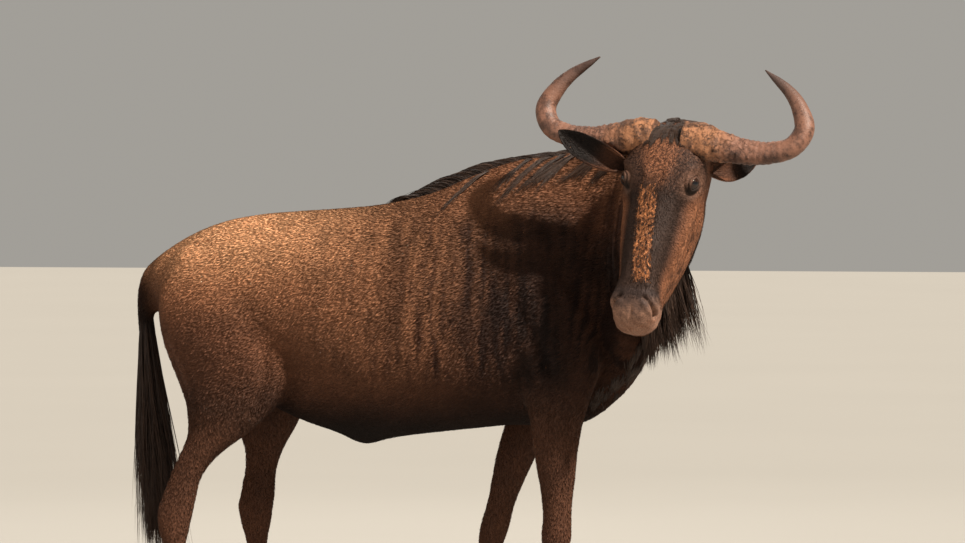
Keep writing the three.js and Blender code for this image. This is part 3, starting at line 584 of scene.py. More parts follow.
@dataclass(frozen=True)
class CoatFinish:
    """The short coat and the skin under it, with the same markings on both."""

    name: str = "short_coat"
    stripe: tuple[float, float, float] = (0.22, 0.19, 0.19)
    # The gap colour multiplies painted shade into the gaps between curls and waves of hair.
    gap: tuple[float, float, float] = (0.1, 0.085, 0.09)
    bristle: tuple[float, float, float] = (0.46, 0.185, 0.075)
    dull: tuple[float, float, float] = (0.17, 0.068, 0.032)
    speckle: float = 300
    fold: float = 4.14
    depth: float = 0.0012

    def made(self) -> bpy.types.Material:
        """The material: its colour is stored on the points, its stripes and speckles are patterns."""
        shader = Shader(self.name)
        where, tint = shader.where(), shader.stored("tint", "Color")
        draw, tip = shader.stored("draw"), shader.stored("tip")
        striped = shader.mixed(self._stripes(shader), tint, shader.mixed(1.0, tint, self.stripe, "MULTIPLY"))
        flakes = shader.noise(shader.stretched(where, (1, 1, 0.33)), 190, 3, 0.68)
        flakes = flakes + self._part(shader, "X") * 0.26
        worn = shader.mixed(shader.noise(where, 70, 3, 0.7).rising(0.36, 0.62), self.dull, self.bristle)
        striped = shader.mixed(flakes.rising(0.7, 0.77), striped, worn)
        # Painted shade in the gaps between curls and waves of hair.
        gap_shade_colour = shader.mixed(1.0, striped, self.gap, "MULTIPLY")
        gap_shaded = shader.mixed(self._gaps(shader, where), striped, gap_shade_colour)
        fleck = shader.noise(where, self.speckle, 2).rising(0.34, 0.66) * 0.5 + draw * 0.4 + tip * 0.2 + 0.5
        cloud = shader.noise(where, 9, 3).rising(0.25, 0.75) * 0.4 + 0.8
        tone = fleck * cloud
        grey = shader.node("ShaderNodeCombineColor", {}, [tone, tone * 0.98, tone * 0.96])
        colour = shader.mixed(1.0, gap_shaded, grey, "MULTIPLY")
        shader.finish(colour, 0.62, shader.noise(where, 420, 3), self.depth, Specular_IOR_Level=0.18)
        return shader.material

    def _stripes(self, shader: Shader) -> Socket:
        """How dark the upright stripes and bands make each place, with the painted shade in the grooves of
        the neck's folds.

        Args:
            shader: the material's nodes.

        Returns:
            0 for the plain coat and 1 for the darkest.
        """
        lay, mask = shader.stored("lay", "Vector"), shader.stored("stripes")
        wander = shader.noise(shader.where(), 6, 2) * 0.1 - 0.05
        fine = shader.noise(shader.stretched(lay, (1, 0.1, 1)), 82, 3, 0.6) + wander
        fine = fine.rising(0.46, 0.62) * 0.74
        bands = shader.noise(shader.stretched(lay, (1, 0.08, 1)), 44, 3, 0.55) + wander
        bands = bands.rising(0.49, 0.57) * 0.95
        along = shader.node("ShaderNodeSeparateXYZ", {}, [lay], "X")
        height = shader.node("ShaderNodeSeparateXYZ", {}, [lay], "Y")
        # Painted shade in the grooves of the neck's folds, on the same waves as the sculpted wrinkles.
        bend = shader.node("ShaderNodeMath", {"operation": "SINE"}, [height * 11.1]) * 0.8
        crease = shader.node("ShaderNodeMath", {"operation": "SINE"}, [along * (1000 / self.fold) + bend])
        folded = (crease * -1).rising(0.1, 0.9) * shader.stored("folded")
        dark = shader.node("ShaderNodeMath", {"operation": "MAXIMUM"}, [fine * mask, bands * mask**2.5])
        return shader.node("ShaderNodeMath", {"operation": "MAXIMUM"}, [dark, folded])

    def _gaps(self, shader: Shader, where: Socket) -> Socket:
        """How much painted shade darkens the gaps between the curls of the brow and the wavy hair of the
        cheeks.
        """
        curl = shader.noise(where, 24, 2) * 0.05
        bent = shader.node("ShaderNodeVectorMath", {"operation": "ADD"}, [where, curl])
        curls = shader.noise(shader.stretched(bent, (1, 1, 1.5)), 185, 3, 0.65).rising(0.6, 0.42) * 0.85
        waves = shader.noise(shader.stretched(bent, (1, 1, 0.2)), 105, 3, 0.6).rising(0.48, 0.62) * 0.85
        return curls * self._part(shader, "Y") + waves * self._part(shader, "Z")

    @staticmethod
    def _part(shader: Shader, axis: str) -> Socket:
        """One of the three roughnesses stored on the points: bristles, curls and waves."""
        return shader.node("ShaderNodeSeparateXYZ", {}, [shader.stored("rough", "Vector")], axis)


@dataclass(frozen=True)
class HairFinish:
    """Long coarse hair, nearly black with browner tips."""

    name: str = "long_hair"
    root: tuple[float, float, float] = (0.012, 0.009, 0.008)
    end: tuple[float, float, float] = (0.075, 0.038, 0.023)

    def made(self) -> bpy.types.Material:
        """The material, which goes browner strand by strand."""
        shader = Shader(self.name)
        where, draw, tip = shader.where(), shader.stored("draw"), shader.stored("tip")
        share = (draw**2) * 0.5 + tip * 0.3 + shader.noise(where, 60, 2) * 0.2
        colour = shader.mixed(share, self.root, self.end)
        shader.finish(colour, 0.5, shader.noise(where, 500, 2), 0.0004, Specular_IOR_Level=0.25)
        return shader.material


@dataclass(frozen=True)
class HornFinish:
    """Horn: rough and tan on the boss, reddish brown, with a dark smooth tip."""

    name: str = "horn_sheath"
    boss: tuple[float, float, float] = (0.34, 0.145, 0.066)
    middle: tuple[float, float, float] = (0.215, 0.098, 0.062)
    tip: tuple[float, float, float] = (0.07, 0.04, 0.032)
    crack: tuple[float, float, float] = (0.045, 0.02, 0.013)

    def made(self) -> bpy.types.Material:
        """The material, with scales and cracks that fade along the horn."""
        shader = Shader(self.name)
        where, rise = shader.where(), shader.stored("rise")
        worn = rise + shader.noise(where, 18, 3) * 0.14 - 0.07
        stops = [
            (0.0, self.boss), (0.12, self.boss), (0.26, self.middle), (0.66, self.middle), (0.92, self.tip),
        ]
        base = shader.node("ShaderNodeValToRGB", {"stops": stops}, [worn], "Color")
        rugged = 1 - rise.rising(0.16, 0.55)
        furrow = shader.noise(where, 52, 5, 0.66) - 0.5
        ridge = shader.node("ShaderNodeMath", {"operation": "ABSOLUTE"}, [furrow])
        coarse = shader.noise(where, 45, 5, 0.7)
        lines = (1 - ridge.rising(0.0, 0.035)) * coarse.rising(0.36, 0.6) * rugged
        worn_through = shader.noise(where, 21, 4, 0.7).rising(0.46, 0.6) * 0.7
        streak = shader.noise(where, 120, 4, 0.7).rising(0.5, 0.72) * 0.45 + worn_through
        colour = shader.mixed(lines * 0.8, shader.mixed(streak, base, self.crack), self.crack)
        height = coarse * (0.35 + rugged) - lines * 0.7 + shader.noise(where, 260, 3) * 0.25
        shader.finish(colour, 0.5 + rugged * 0.2, height, 0.0035, Specular_IOR_Level=0.4)
        return shader.material


@dataclass(frozen=True)
class HoofFinish:
    """Hoof horn with growth rings, dusty near the ground."""

    name: str = "hoof_horn"
    dark: tuple[float, float, float] = (0.026, 0.017, 0.013)
    dust: tuple[float, float, float] = (0.14, 0.09, 0.06)

    def made(self) -> bpy.types.Material:
        """The material."""
        shader = Shader(self.name)
        where = shader.where()
        rings = shader.noise(shader.stretched(where, (1, 1, 9)), 30, 3)
        low = 1 - shader.node("ShaderNodeSeparateXYZ", {}, [where], "Z").rising(0.0, 0.03)
        worn = (low + shader.noise(where, 40, 3) * 0.5).rising(0.55, 1.2) * 0.7
        shader.finish(shader.mixed(worn, self.dark, self.dust), 0.5, rings, 0.0015)
        return shader.material


@dataclass(frozen=True)
class EyeFinish:
    """A wet dark brown eye with a wide pupil lying level."""

    name: str = "wet_eye"
    iris: tuple[float, float, float] = (0.022, 0.009, 0.005)
    pupil: tuple[float, float, float] = (0.003, 0.003, 0.004)

    def made(self) -> bpy.types.Material:
        """The material, its pupil stored on the points."""
        shader = Shader(self.name)
        inner = shader.stored("pupil")
        rays = shader.noise(shader.where(), 380, 2) * 0.3
        colour = shader.mixed((inner + rays).rising(0.35, 0.75), self.iris, self.pupil)
        shader.finish(colour, 0.08, None, 0, Specular_IOR_Level=0.35, Coat_Weight=0.35, Coat_Roughness=0.02)
        return shader.material


@dataclass(frozen=True)
class FloorFinish:
    """The studio's plain pale floor."""

    name: str = "studio_floor"
    tone: tuple[float, float, float] = (0.37, 0.345, 0.31)

    def made(self) -> bpy.types.Material:
        """The material, matt with the faintest clouds."""
        shader = Shader(self.name)
        darker = tuple(0.95 * v for v in self.tone)
        shader.finish(shader.mixed(shader.noise(shader.where(), 0.6, 2), self.tone, darker), 0.9, None, 0)
        return shader.material


@dataclass
class Studio:
    """The floor, the lights and the camera at the photo's angle."""

    middle: Vector
    turn: float = math.radians(9)
    rise: float = math.radians(2)
    distance: float = 14.0
    lens: float = 209
    sensor: float = 36
    floor_reach: float = 60

    def build(self) -> None:
        """Makes all of it."""
        self._camera()
        self._lights()
        Bench.only()
        bpy.ops.mesh.primitive_grid_add(x_subdivisions=8, y_subdivisions=8, size=self.floor_reach)
        floor = bpy.context.object
        floor.name = "floor"
        floor.data.materials.append(FloorFinish().made())

    def _camera(self) -> None:
        """Stands the camera where the photo was taken from."""
        level = math.cos(self.rise)
        out = Vector((math.sin(self.turn) * level, -math.cos(self.turn) * level, math.sin(self.rise)))
        data = bpy.data.cameras.new("camera")
        data.lens, data.sensor_width, data.sensor_fit = self.lens, self.sensor, "HORIZONTAL"
        data.clip_end = 200
        camera = bpy.data.objects.new("camera", data)
        camera.location = self.middle + out * self.distance
        camera.rotation_euler = (-out).to_track_quat("-Z", "Y").to_euler()
        bpy.context.scene.collection.objects.link(camera)
        bpy.context.scene.camera = camera

    def _lights(self) -> None:
        """Hangs a soft sun high on the right, a broad fill on the left and an even sky."""
        for name, kind, place, power, width, colour in (
            ("sun", "SUN", (3.0, -2.1, 4.6), 6.8, 0.06, (1, 0.94, 0.84)),
            ("fill", "AREA", (-3.5, -6, 3), 70, 5, (1, 0.97, 0.93)),
            ("rim", "AREA", (-1, 5, 4), 60, 4, (1, 0.97, 0.92)),
        ):
            data = bpy.data.lights.new(name, kind)
            data.energy, data.color = power, colour
            if kind == "SUN":
                data.angle = width
            else:
                data.size = width
            light = bpy.data.objects.new(name, data)
            light.location = Vector(place)
            light.rotation_euler = (Vector(place) - Vector((0, 0, 0.9))).to_track_quat("Z", "Y").to_euler()
            bpy.context.scene.collection.objects.link(light)
        world = bpy.data.worlds.new("sky")
        world.use_nodes = True
        sky = next(n for n in world.node_tree.nodes if n.type == "BACKGROUND")
        sky.inputs["Color"].default_value = (0.86, 0.82, 0.75, 1)
        sky.inputs["Strength"].default_value = 0.42
        bpy.context.scene.world = world
        bpy.context.scene.view_settings.view_transform = "Standard"


@dataclass
class Body:
    """The trunk and the neck as sections, with their muscles."""

    trunk: np.ndarray = field(default_factory=lambda: np.array([
        (-642, 1052, 992, 1022, 24, 2, 2),
        (-625, 1072, 950, 1012, 56, 2, 2),
        (-590, 1098, 905, 1005, 92, 1.9, 2),
        (-530, 1134, 860, 1000, 132, 1.8, 2),
        (-450, 1166, 800, 990, 165, 1.8, 2),
        (-360, 1184, 722, 975, 188, 1.85, 2),
        (-250, 1194, 664, 945, 208, 1.9, 2.1),
        (-150, 1201, 634, 920, 226, 1.9, 2.2),
        (-40, 1212, 622, 905, 238, 1.85, 2.2),
        (80, 1240, 634, 900, 236, 1.75, 2.1),
        (190, 1286, 646, 900, 222, 1.6, 2),
        (290, 1322, 656, 900, 202, 1.5, 2),
        (390, 1330, 656, 905, 186, 1.5, 1.9),
        (470, 1290, 664, 915, 172, 1.7, 1.8),
        (540, 1190, 712, 920, 146, 2, 1.8),
        (595, 1080, 772, 920, 108, 2, 1.9),
        (628, 1000, 834, 915, 64, 2, 2),
        (642, 948, 880, 914, 26, 2, 2),
    ], float))
    neck: np.ndarray = field(default_factory=lambda: np.array([
        (0, 1270, 860, 1060, 84, 1.5, 2),
        (0.18, 1318, 800, 1035, 120, 1.5, 2),
        (0.38, 1346, 778, 1020, 134, 1.5, 2),
        (0.58, 1358, 836, 1050, 122, 1.55, 2),
        (0.78, 1390, 972, 1140, 104, 1.6, 1.9),
        (0.92, 1410, 1092, 1220, 92, 1.7, 1.9),
        (1, 1410, 1140, 1240, 76, 1.8, 1.9),
    ], float))
    way: Way = field(default_factory=lambda: Way([
        (200, 0), (340, 4), (480, 2), (600, -44), (684, -136), (716, -240),
    ]))
    muscles: tuple = (
        Swell((-470, 150, 1085), (60, 45, 50), 10),
        Swell((-300, 190, 1040), (70, 60, 70), -12),
        Swell((-265, 190, 800), (70, 60, 90), -14),
        Swell((-92, 0, 620), (50, 40, 60), 24),
        Swell((60, 230, 880), (170, 80, 130), 10),
        Swell((345, 150, 1165), (55, 60, 120), 12),
        Swell((240, 160, 1160), (45, 70, 110), -9),
        Swell((585, 90, 880), (50, 45, 70), 14),
    )

    def trunk_points(self, x: np.ndarray, turns: np.ndarray) -> np.ndarray:
        """Points of the trunk's skin at each x and turn."""
        side, height = egg(between(self.trunk, x), turns)
        points = np.stack([np.broadcast_to(x[:, None], side.shape), side, height], axis=-1)
        out = np.stack([np.zeros_like(turns), np.cos(turns), np.sin(turns)], axis=-1)
        for muscle in self.muscles:
            points = points + muscle.reach(points.reshape(-1, 3)).reshape(side.shape)[..., None] * out
        return points

    def neck_points(self, share: np.ndarray, turns: np.ndarray) -> np.ndarray:
        """Points of the neck's skin at each share of its way and turn."""
        side, height = egg(between(self.neck, share), turns)
        middle, ahead = self.way.at(share), self.way.ahead(share)
        x = middle[:, :1] - ahead[:, 1:] * side
        y = middle[:, 1:] + ahead[:, :1] * side
        return np.stack([x, y, height], axis=-1)


@dataclass
class Skull:
    """The head in its own frame: u runs down the face, v to its left and w out of the forehead."""

    poll: tuple[float, float, float] = (716, -330, 1414)
    yaw: float = math.radians(-101)
    pitch: float = math.radians(65)
    lean: float = math.radians(-4.5)
    eye: tuple[float, float, float] = (136, 77, -38)
    eye_radius: float = 21
    sections: np.ndarray = field(default_factory=lambda: np.array([
        (-74, -130, -160, -144, 30, 2, 2),
        (-58, -110, -178, -134, 60, 2, 2),
        (-30, -66, -200, -112, 86, 2.1, 2),
        (10, -12, -224, -88, 98, 2.3, 2),
        (60, 3, -242, -76, 102, 2.4, 1.9),
        (110, 4, -250, -68, 102, 2.4, 1.8),
        (155, 1, -246, -70, 96, 2.3, 1.8),
        (205, -1, -246, -94, 90, 2.1, 2),
        (255, 0, -240, -104, 85, 2, 2.1),
        (305, 3, -226, -102, 78, 2, 2.2),
        (355, 3, -206, -90, 69, 2.1, 2.2),
        (400, -2, -182, -76, 62, 2.4, 2.2),
        (436, -8, -154, -66, 59, 2.9, 2.2),
        (470, -18, -134, -68, 59, 3, 2.3),
        (497, -34, -127, -78, 50, 2.6, 2.2),
        (513, -56, -114, -86, 36, 2.2, 2.1),
        (521, -74, -100, -87, 19, 2, 2),
    ], float))
    bones: tuple = (
        Swell((112, 90, -20), (30, 30, 22), 12),
        Swell((150, 96, -74), (40, 26, 20), 6),
        Swell((190, 80, -48), (30, 26, 24), -8),
        Swell((188, 82, -150), (62, 40, 56), 10),
        Swell((262, 66, -74), (56, 26, 16), 5),
        Swell((80, 0, 4), (62, 62, 40), 5),
        Swell((458, 52, -38), (22, 22, 22), 9),
        Swell((492, 42, -78), (24, 36, 20), 4),
        Swell((484, 0, -132), (30, 34, 16), 6),
        Swell((424, 54, -106), (26, 22, 12), -5),
        Swell((392, 48, -46), (34, 22, 22), -5),
    )

    def __post_init__(self) -> None:
        """Works out the frame's turn and place."""
        turned = Matrix.Rotation(self.yaw, 3, "Z") @ Matrix.Rotation(self.lean, 3, "X")
        turn = turned @ Matrix.Rotation(self.pitch, 3, "Y")
        self.turn = np.array(turn)

    def out(self, points: np.ndarray) -> np.ndarray:
        """Places of the head's frame in the animal's."""
        return points @ self.turn.T + self.poll

    def into(self, points: np.ndarray) -> np.ndarray:
        """Places of the animal's frame in the head's."""
        return (points - self.poll) @ self.turn

    def way(self, *direction: float) -> np.ndarray:
        """A direction of the head's frame in the animal's."""
        return unit(self.turn @ np.array(direction, float))

    def points(self, u: np.ndarray, turns: np.ndarray) -> np.ndarray:
        """Points of the head's skin in its own frame, at each u and turn."""
        side, height = egg(between(self.sections, u), turns)
        points = np.stack([np.broadcast_to(u[:, None], side.shape), side, height], axis=-1)
        out = np.stack([np.zeros_like(turns), np.cos(turns), np.sin(turns)], axis=-1)
        for bone in self.bones:
            points = points + bone.reach(points.reshape(-1, 3)).reshape(side.shape)[..., None] * out
        return points


@dataclass
class Limb:
    """One leg as rings by height: its way fore and aft, and its thickness."""

    name: str
    side: Side
    form: np.ndarray
    way: np.ndarray

    def points(self, heights: np.ndarray, turns: np.ndarray) -> np.ndarray:
        """Points of the leg's skin at each height and turn."""
        deep, half, mid, thin = (column[:, None] for column in between(self.form, heights).T)
        x = between(self.way, heights)
        narrowing = 1 - thin * 0.5 * (1 - np.cos(turns))
        across = self.side.value * mid + half * narrowing * np.sin(turns)
        levels = np.broadcast_to(heights[:, None], across.shape)
        return np.stack([x + deep * np.cos(turns), across, levels], axis=-1)

    def middle(self, heights: np.ndarray) -> np.ndarray:
        """The middle of the leg at each height."""
        mid = between(self.form, heights)[:, 2]
        return np.stack([between(self.way, heights)[:, 0], self.side.value * mid, heights], axis=1)


FORE_FORM = np.array([
    (1130, 52, 26, 112, 0), (1010, 92, 44, 142, 0), (900, 112, 56, 152, 0), (820, 108, 62, 152, 0),
    (740, 86, 58, 146, 0.15), (680, 70, 51, 141, 0.25), (620, 60, 46, 138, 0.25), (545, 50, 40, 135, 0.2),
    (480, 41, 34, 133, 0.15), (437, 38, 34, 132, 0.1), (395, 40, 37, 131, 0.15), (358, 36, 33, 130, 0.2),
    (320, 27, 25, 130, 0.1), (230, 24, 21, 129, 0.1), (170, 25, 22, 128, 0.1), (136, 33, 28, 128, 0.15),
    (108, 31, 28, 127, 0.15), (80, 28, 26, 127, 0), (40, 40, 34, 126, 0),
], float)
HIND_FORM = np.array([
    (1110, 96, 40, 76, 0), (1010, 146, 78, 104, 0.1), (880, 162, 92, 120, 0.2), (770, 148, 82, 128, 0.3),
    (690, 108, 66, 132, 0.35), (640, 80, 54, 133, 0.4), (580, 52, 40, 134, 0.45), (530, 44, 34, 134, 0.5),
    (480, 47, 33, 134, 0.5), (440, 49, 34, 133, 0.4), (398, 42, 32, 132, 0.25), (350, 30, 26, 131, 0.15),
    (260, 26, 22, 130, 0.1), (176, 26, 22, 129, 0.1), (140, 34, 28, 128, 0.15), (110, 32, 28, 127, 0.15),
    (80, 29, 26, 127, 0), (40, 40, 34, 126, 0),
], float)


def limbs() -> list[Limb]:
    """The four legs in the order of the regions."""
    ways = {
        "fore_right": [(1130, 296), (1010, 358), (900, 404), (820, 422), (740, 420), (620, 414), (480, 417),
                       (395, 415), (320, 410), (170, 412), (136, 414), (108, 424), (80, 440), (40, 458)],
        "fore_left": [(1130, 296), (1010, 352), (900, 386), (820, 384), (740, 352), (620, 292), (480, 244),
                      (395, 220), (320, 204), (170, 178), (136, 176), (108, 184), (80, 200), (40, 218)],
        "hind_right": [(1110, -446), (1010, -448), (880, -426), (770, -398), (690, -412), (640, -438),
                       (580, -490), (530, -521), (480, -538), (440, -549), (398, -552), (350, -551),
                       (176, -546), (140, -544), (110, -534), (80, -516), (40, -496)],
        "hind_left": [(1110, -450), (1010, -448), (880, -420), (770, -386), (690, -374), (640, -370),
                      (580, -376), (530, -384), (480, -391), (440, -396), (398, -396), (350, -393),
                      (176, -385), (140, -382), (110, -371), (80, -352), (40, -332)],
    }
    legs = []
    for name, way in ways.items():
        side = Side.LEFT if name.endswith("left") else Side.RIGHT
        form = FORE_FORM if name.startswith("fore") else HIND_FORM
        legs.append(Limb(name, side, form, np.array(way, float)))
    return legs


@dataclass
class Ear:
    """One ear, a leaf-shaped cup rolled into a tube at its root, in the head's frame."""

    side: Side
    bend: tuple[tuple[float, float, float], ...]
    opening: tuple[float, float, float]
    wall: float = 5.5
    form: np.ndarray = field(default_factory=lambda: np.array([
        (0, 20, 2.7), (0.14, 23, 2.5), (0.3, 30, 1.75), (0.5, 36, 1.25), (0.7, 35, 1.05),
        (0.86, 26, 0.9), (0.96, 14, 0.8), (1, 6, 0.7),
    ], float))

    def rings(self, count: int = 34, half: int = 15) -> np.ndarray:
        """The ear's rings, each out round its back and home along its hollow.

        Args:
            count: how many rings.
            half: how many points lie on the back of each, and how many in the hollow.

        Returns:
            The points in the head's frame, ring by ring.
        """
        first, knee, last = (np.array(point, float) for point in self.bend)
        turns = np.linspace(-1, 1, half)
        rings = []
        for t in np.linspace(0, 1, count):
            radius, spread = between(self.form, np.array([t]))[0]
            along = unit((1 - t) * (knee - first) + t * (last - knee))
            face = np.array(self.opening, float)
            face = unit(face - along * (face @ along))
            across = np.cross(along, face)
            middle = (1 - t) ** 2 * first + 2 * t * (1 - t) * knee + t * t * last
            middle = middle + face * (radius * 0.35 - 14 * t * t)
            wall = self.wall * (1 - 0.5 * t)
            rows = []
            for reach, way in ((radius, turns), (max(radius - wall, radius * 0.4), turns[::-1])):
                angle = (spread * way)[:, None]
                rows.append(middle - reach * np.cos(angle) * face + reach * np.sin(angle) * across)
            rings.append(np.vstack(rows))
        return np.array(rings)


def ears() -> list[Ear]:
    """The two ears, each turned its own way."""
    return [
        Ear(Side.LEFT, ((62, 84, -106), (52, 140, -150), (-10, 196, -172)), (0.4, 0.5, 0.75)),
        Ear(Side.RIGHT, ((92, -90, -84), (104, -186, 14), (52, -264, 30)), (0.36, 0.34, 0.87)),
    ]


@dataclass
class Skin:
    """One skin over trunk, neck, head, legs, tail and ears, with all that the coat needs to know."""

    body: Body
    skull: Skull
    legs: list[Limb]
    shift: np.ndarray
    voxel: float = 10.5
    tail: Way = field(default_factory=lambda: Way([
        (-578, 0, 1050), (-620, 0, 1044), (-646, 2, 1000), (-652, 4, 930),
        (-648, 6, 830), (-640, 6, 720), (-636, 4, 600), (-638, 2, 500),
    ]))
    tail_girth: np.ndarray = field(default_factory=lambda: np.array([
        (0, 28, 34), (0.15, 25, 32), (0.4, 20, 25), (0.7, 15, 18), (1, 7, 8),
    ], float))
    nostril: tuple = ((450, 32, -10), (460, 45, -14), (471, 56, -28), (478, 60, -44), (480, 56, -58))
    folds: tuple = (
        Fold(((330, 190, 1180), (400, 190, 1060), (470, 170, 930)), 22, 7),
        Fold(((300, 196, 1010), (360, 200, 900), (400, 200, 800)), 16, -7),
        Fold(((-330, 176, 690), (-300, 190, 760), (-300, 190, 850)), 18, -8),
        Fold(((-380, 190, 1130), (-330, 200, 1100)), 26, 9),
        Fold(((-560, 120, 1080), (-590, 118, 960), (-560, 150, 820), (-520, 150, 720)), 14, -6),
        Fold(((330, 40, 640), (420, 44, 640), (520, 40, 700)), 20, 5),
    )

    def build(self) -> bpy.types.Object:
        """Makes the skin.

        Returns:
            The closed skin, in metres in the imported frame.
        """
        turns = np.linspace(0, 2 * math.pi, 40, endpoint=False)
        forms = [
            ("trunk", self.body.trunk_points(np.linspace(-642, 642, 70), turns)),
            ("neck", self.body.neck_points(np.linspace(0, 1, 34), turns)),
            ("head", self.skull.out(self.skull.points(np.linspace(-74, 521, 70), turns))),
        ]
        for leg in self.legs:
            forms.append((leg.name, leg.points(np.linspace(leg.form[0, 0], 40, 64), turns[::2])))
        forms.append(("tail", self.tail.rings(self.tail_girth, 40, 16)))
        pieces = [Bench.lofted(name, rings) for name, rings in forms]
        self.trees = [Bench.tree(piece) for piece in pieces]
        self.ears = ears()
        cups = [Bench.lofted("ear", self.skull.out(ear.rings())) for ear in self.ears]
        self.trees += [Bench.tree(cup) for cup in cups]
        skin = Bench.joined("skin", pieces)
        Bench.modified(skin, "REMESH", mode="VOXEL", voxel_size=self.voxel * MM)
        Bench.modified(skin, "SMOOTH", factor=0.5, iterations=3)
        weights = self.weights(skin, 8)
        seams = skin.vertex_groups.new(name="seams")
        share = np.clip((1 - weights.max(1)) * 2.4, 0, 1)
        for i in np.nonzero(share > 0.02)[0]:
            seams.add([int(i)], float(share[i]), "REPLACE")
        Bench.modified(skin, "SMOOTH", factor=0.5, iterations=14, vertex_group="seams")
        skin.vertex_groups.clear()
        self.refine(skin)
        self.attach(skin, cups)
        self.sculpt(skin)
        return skin

    def attach(self, skin: bpy.types.Object, cups: list[bpy.types.Object]) -> None:
        """Grows the ears out of the skin, with a soft root.

        Args:
            skin: the skin without ears.
            cups: the ears, which are used up.
        """
        bare = Bench.tree(skin)
        for cup in cups:
            before = Bench.middles(skin)
            Bench.modified(skin, "BOOLEAN", operation="UNION", solver="MANIFOLD", object=cup)
            Bench.ordered(skin, before)
            bpy.data.objects.remove(cup)
        skin.data.materials.clear()
        seam = skin.vertex_groups.new(name="ear_roots")
        for i, place in enumerate(Bench.places(skin)):
            local = self.skull.into(place / MM)
            if abs(local[1]) < 60 or local[0] > 140 or local[0] < -60:
                continue
            point = Vector(place)
            from_ears = min(tree.find_nearest(point)[3] for tree in self.trees[EAR:])
            away = max(bare.find_nearest(point)[3], from_ears)
            if away < 6 * MM:
                seam.add([i], 1 - away / (6 * MM), "REPLACE")
        Bench.modified(skin, "SMOOTH", factor=0.5, iterations=6, vertex_group="ear_roots")
        skin.vertex_groups.clear()

    def refine(self, skin: bpy.types.Object) -> None:
        """Gives the head and the bend of the neck smaller faces, and the face's openings the smallest."""
        for reach in (1.0, 0.0):
            points = Bench.places(skin) / MM
            local = self.skull.into(points)
            near_head = (np.abs(local - (222, 0, -125)) < (316, 116, 142)).all(1)
            if reach:
                share = self.body.way.nearest(points)
                bend = (share > 0.45) & (points[:, 0] > 500) & (points[:, 2] > 860) & (points[:, 1] < -10)
                Bench.subdivided(skin, near_head | bend)
                continue
            eye = np.linalg.norm(np.abs(local) * (0, 1, 0) + local * (1, 0, 1) - self.skull.eye, axis=1) < 46
            muzzle = near_head & (local[:, 0] > 415) & (local[:, 2] > -125)
            Bench.subdivided(skin, eye | muzzle)
        points = Bench.places(skin) / MM
        local = self.skull.into(points)
        away = np.linalg.norm(np.abs(local) * (0, 1, 0) + local * (1, 0, 1) - self.skull.eye, axis=1)
        Bench.subdivided(skin, away < 34)

    def weights(self, skin: bpy.types.Object, rounds: int) -> np.ndarray:
        """How much each point of skin belongs to each region.

        Args:
            skin: the skin.
            rounds: how often the weights are spread to the neighbours.

        Returns:
            One row for each point and one column for each region.
        """
        points = [Vector(p) for p in Bench.places(skin)]
        away = np.array([[tree.find_nearest(p)[3] for tree in self.trees] for p in points])
        weights = np.zeros((len(points), 9))
        weights[np.arange(len(points)), np.minimum(away.argmin(1), EAR)] = 1
        return self.spread(skin, weights, rounds)

    @staticmethod
    def spread(skin: bpy.types.Object, values: np.ndarray, rounds: int) -> np.ndarray:
        """Spreads values to the neighbours along the edges.

        Args:
            skin: the skin.
            values: one row for each point.
            rounds: how often they are spread.

        Returns:
            The spread values.
        """
        ends = np.empty(len(skin.data.edges) * 2, np.int32)
        skin.data.edges.foreach_get("vertices", ends)
        a, b = ends.reshape(-1, 2).T
        count = len(values)
        links = np.bincount(a, minlength=count) + np.bincount(b, minlength=count) + 1
        for _ in range(rounds):
            total = values.copy()
            for k in range(values.shape[1]):
                total[:, k] += np.bincount(a, values[b, k], count) + np.bincount(b, values[a, k], count)
            values = total / links[:, None]
        return values

    def sculpt(self, skin: bpy.types.Object) -> None:
        """Pushes the folds, lids, nostrils and lips into the skin, and draws it in by the coat's depth.

        Args:
            skin: the skin.
        """
        weights = self.weights(skin, 3)
        points, out = Bench.places(skin) / MM, Bench.normals(skin)
        depth = weights @ np.array([4.5, 5, 2.2, 2.6, 2.6, 2.6, 2.6, 4.0, 0.4])
        push = -depth
        for fold in self.folds:
            push = push + fold.reach(points) * (1 - weights[:, HEAD])
        push = push + self.wrinkles(points) * weights[:, NECK]
        points = points + out * push[:, None]
        Bench.place(skin, points * MM)
        self.face(skin, weights)
        points = Bench.places(skin) / MM
        Bench.place(skin, (points + self.shift) * MM)
        Bench.smoothed(skin)

    def wrinkles(self, points: np.ndarray) -> np.ndarray:
        """The upright folds that the turned neck throws on its inner side."""
        share = self.body.way.nearest(points)
        along = share * self.body.way.length
        inner = step(-20, -70, points[:, 1])
        wave = np.sin(along / 4.14 + 0.8 * np.sin(points[:, 2] / 90)) - 0.35
        return wave * 3.6 * bell(share, 0.74, 0.13) * inner * step(860, 1000, points[:, 2])

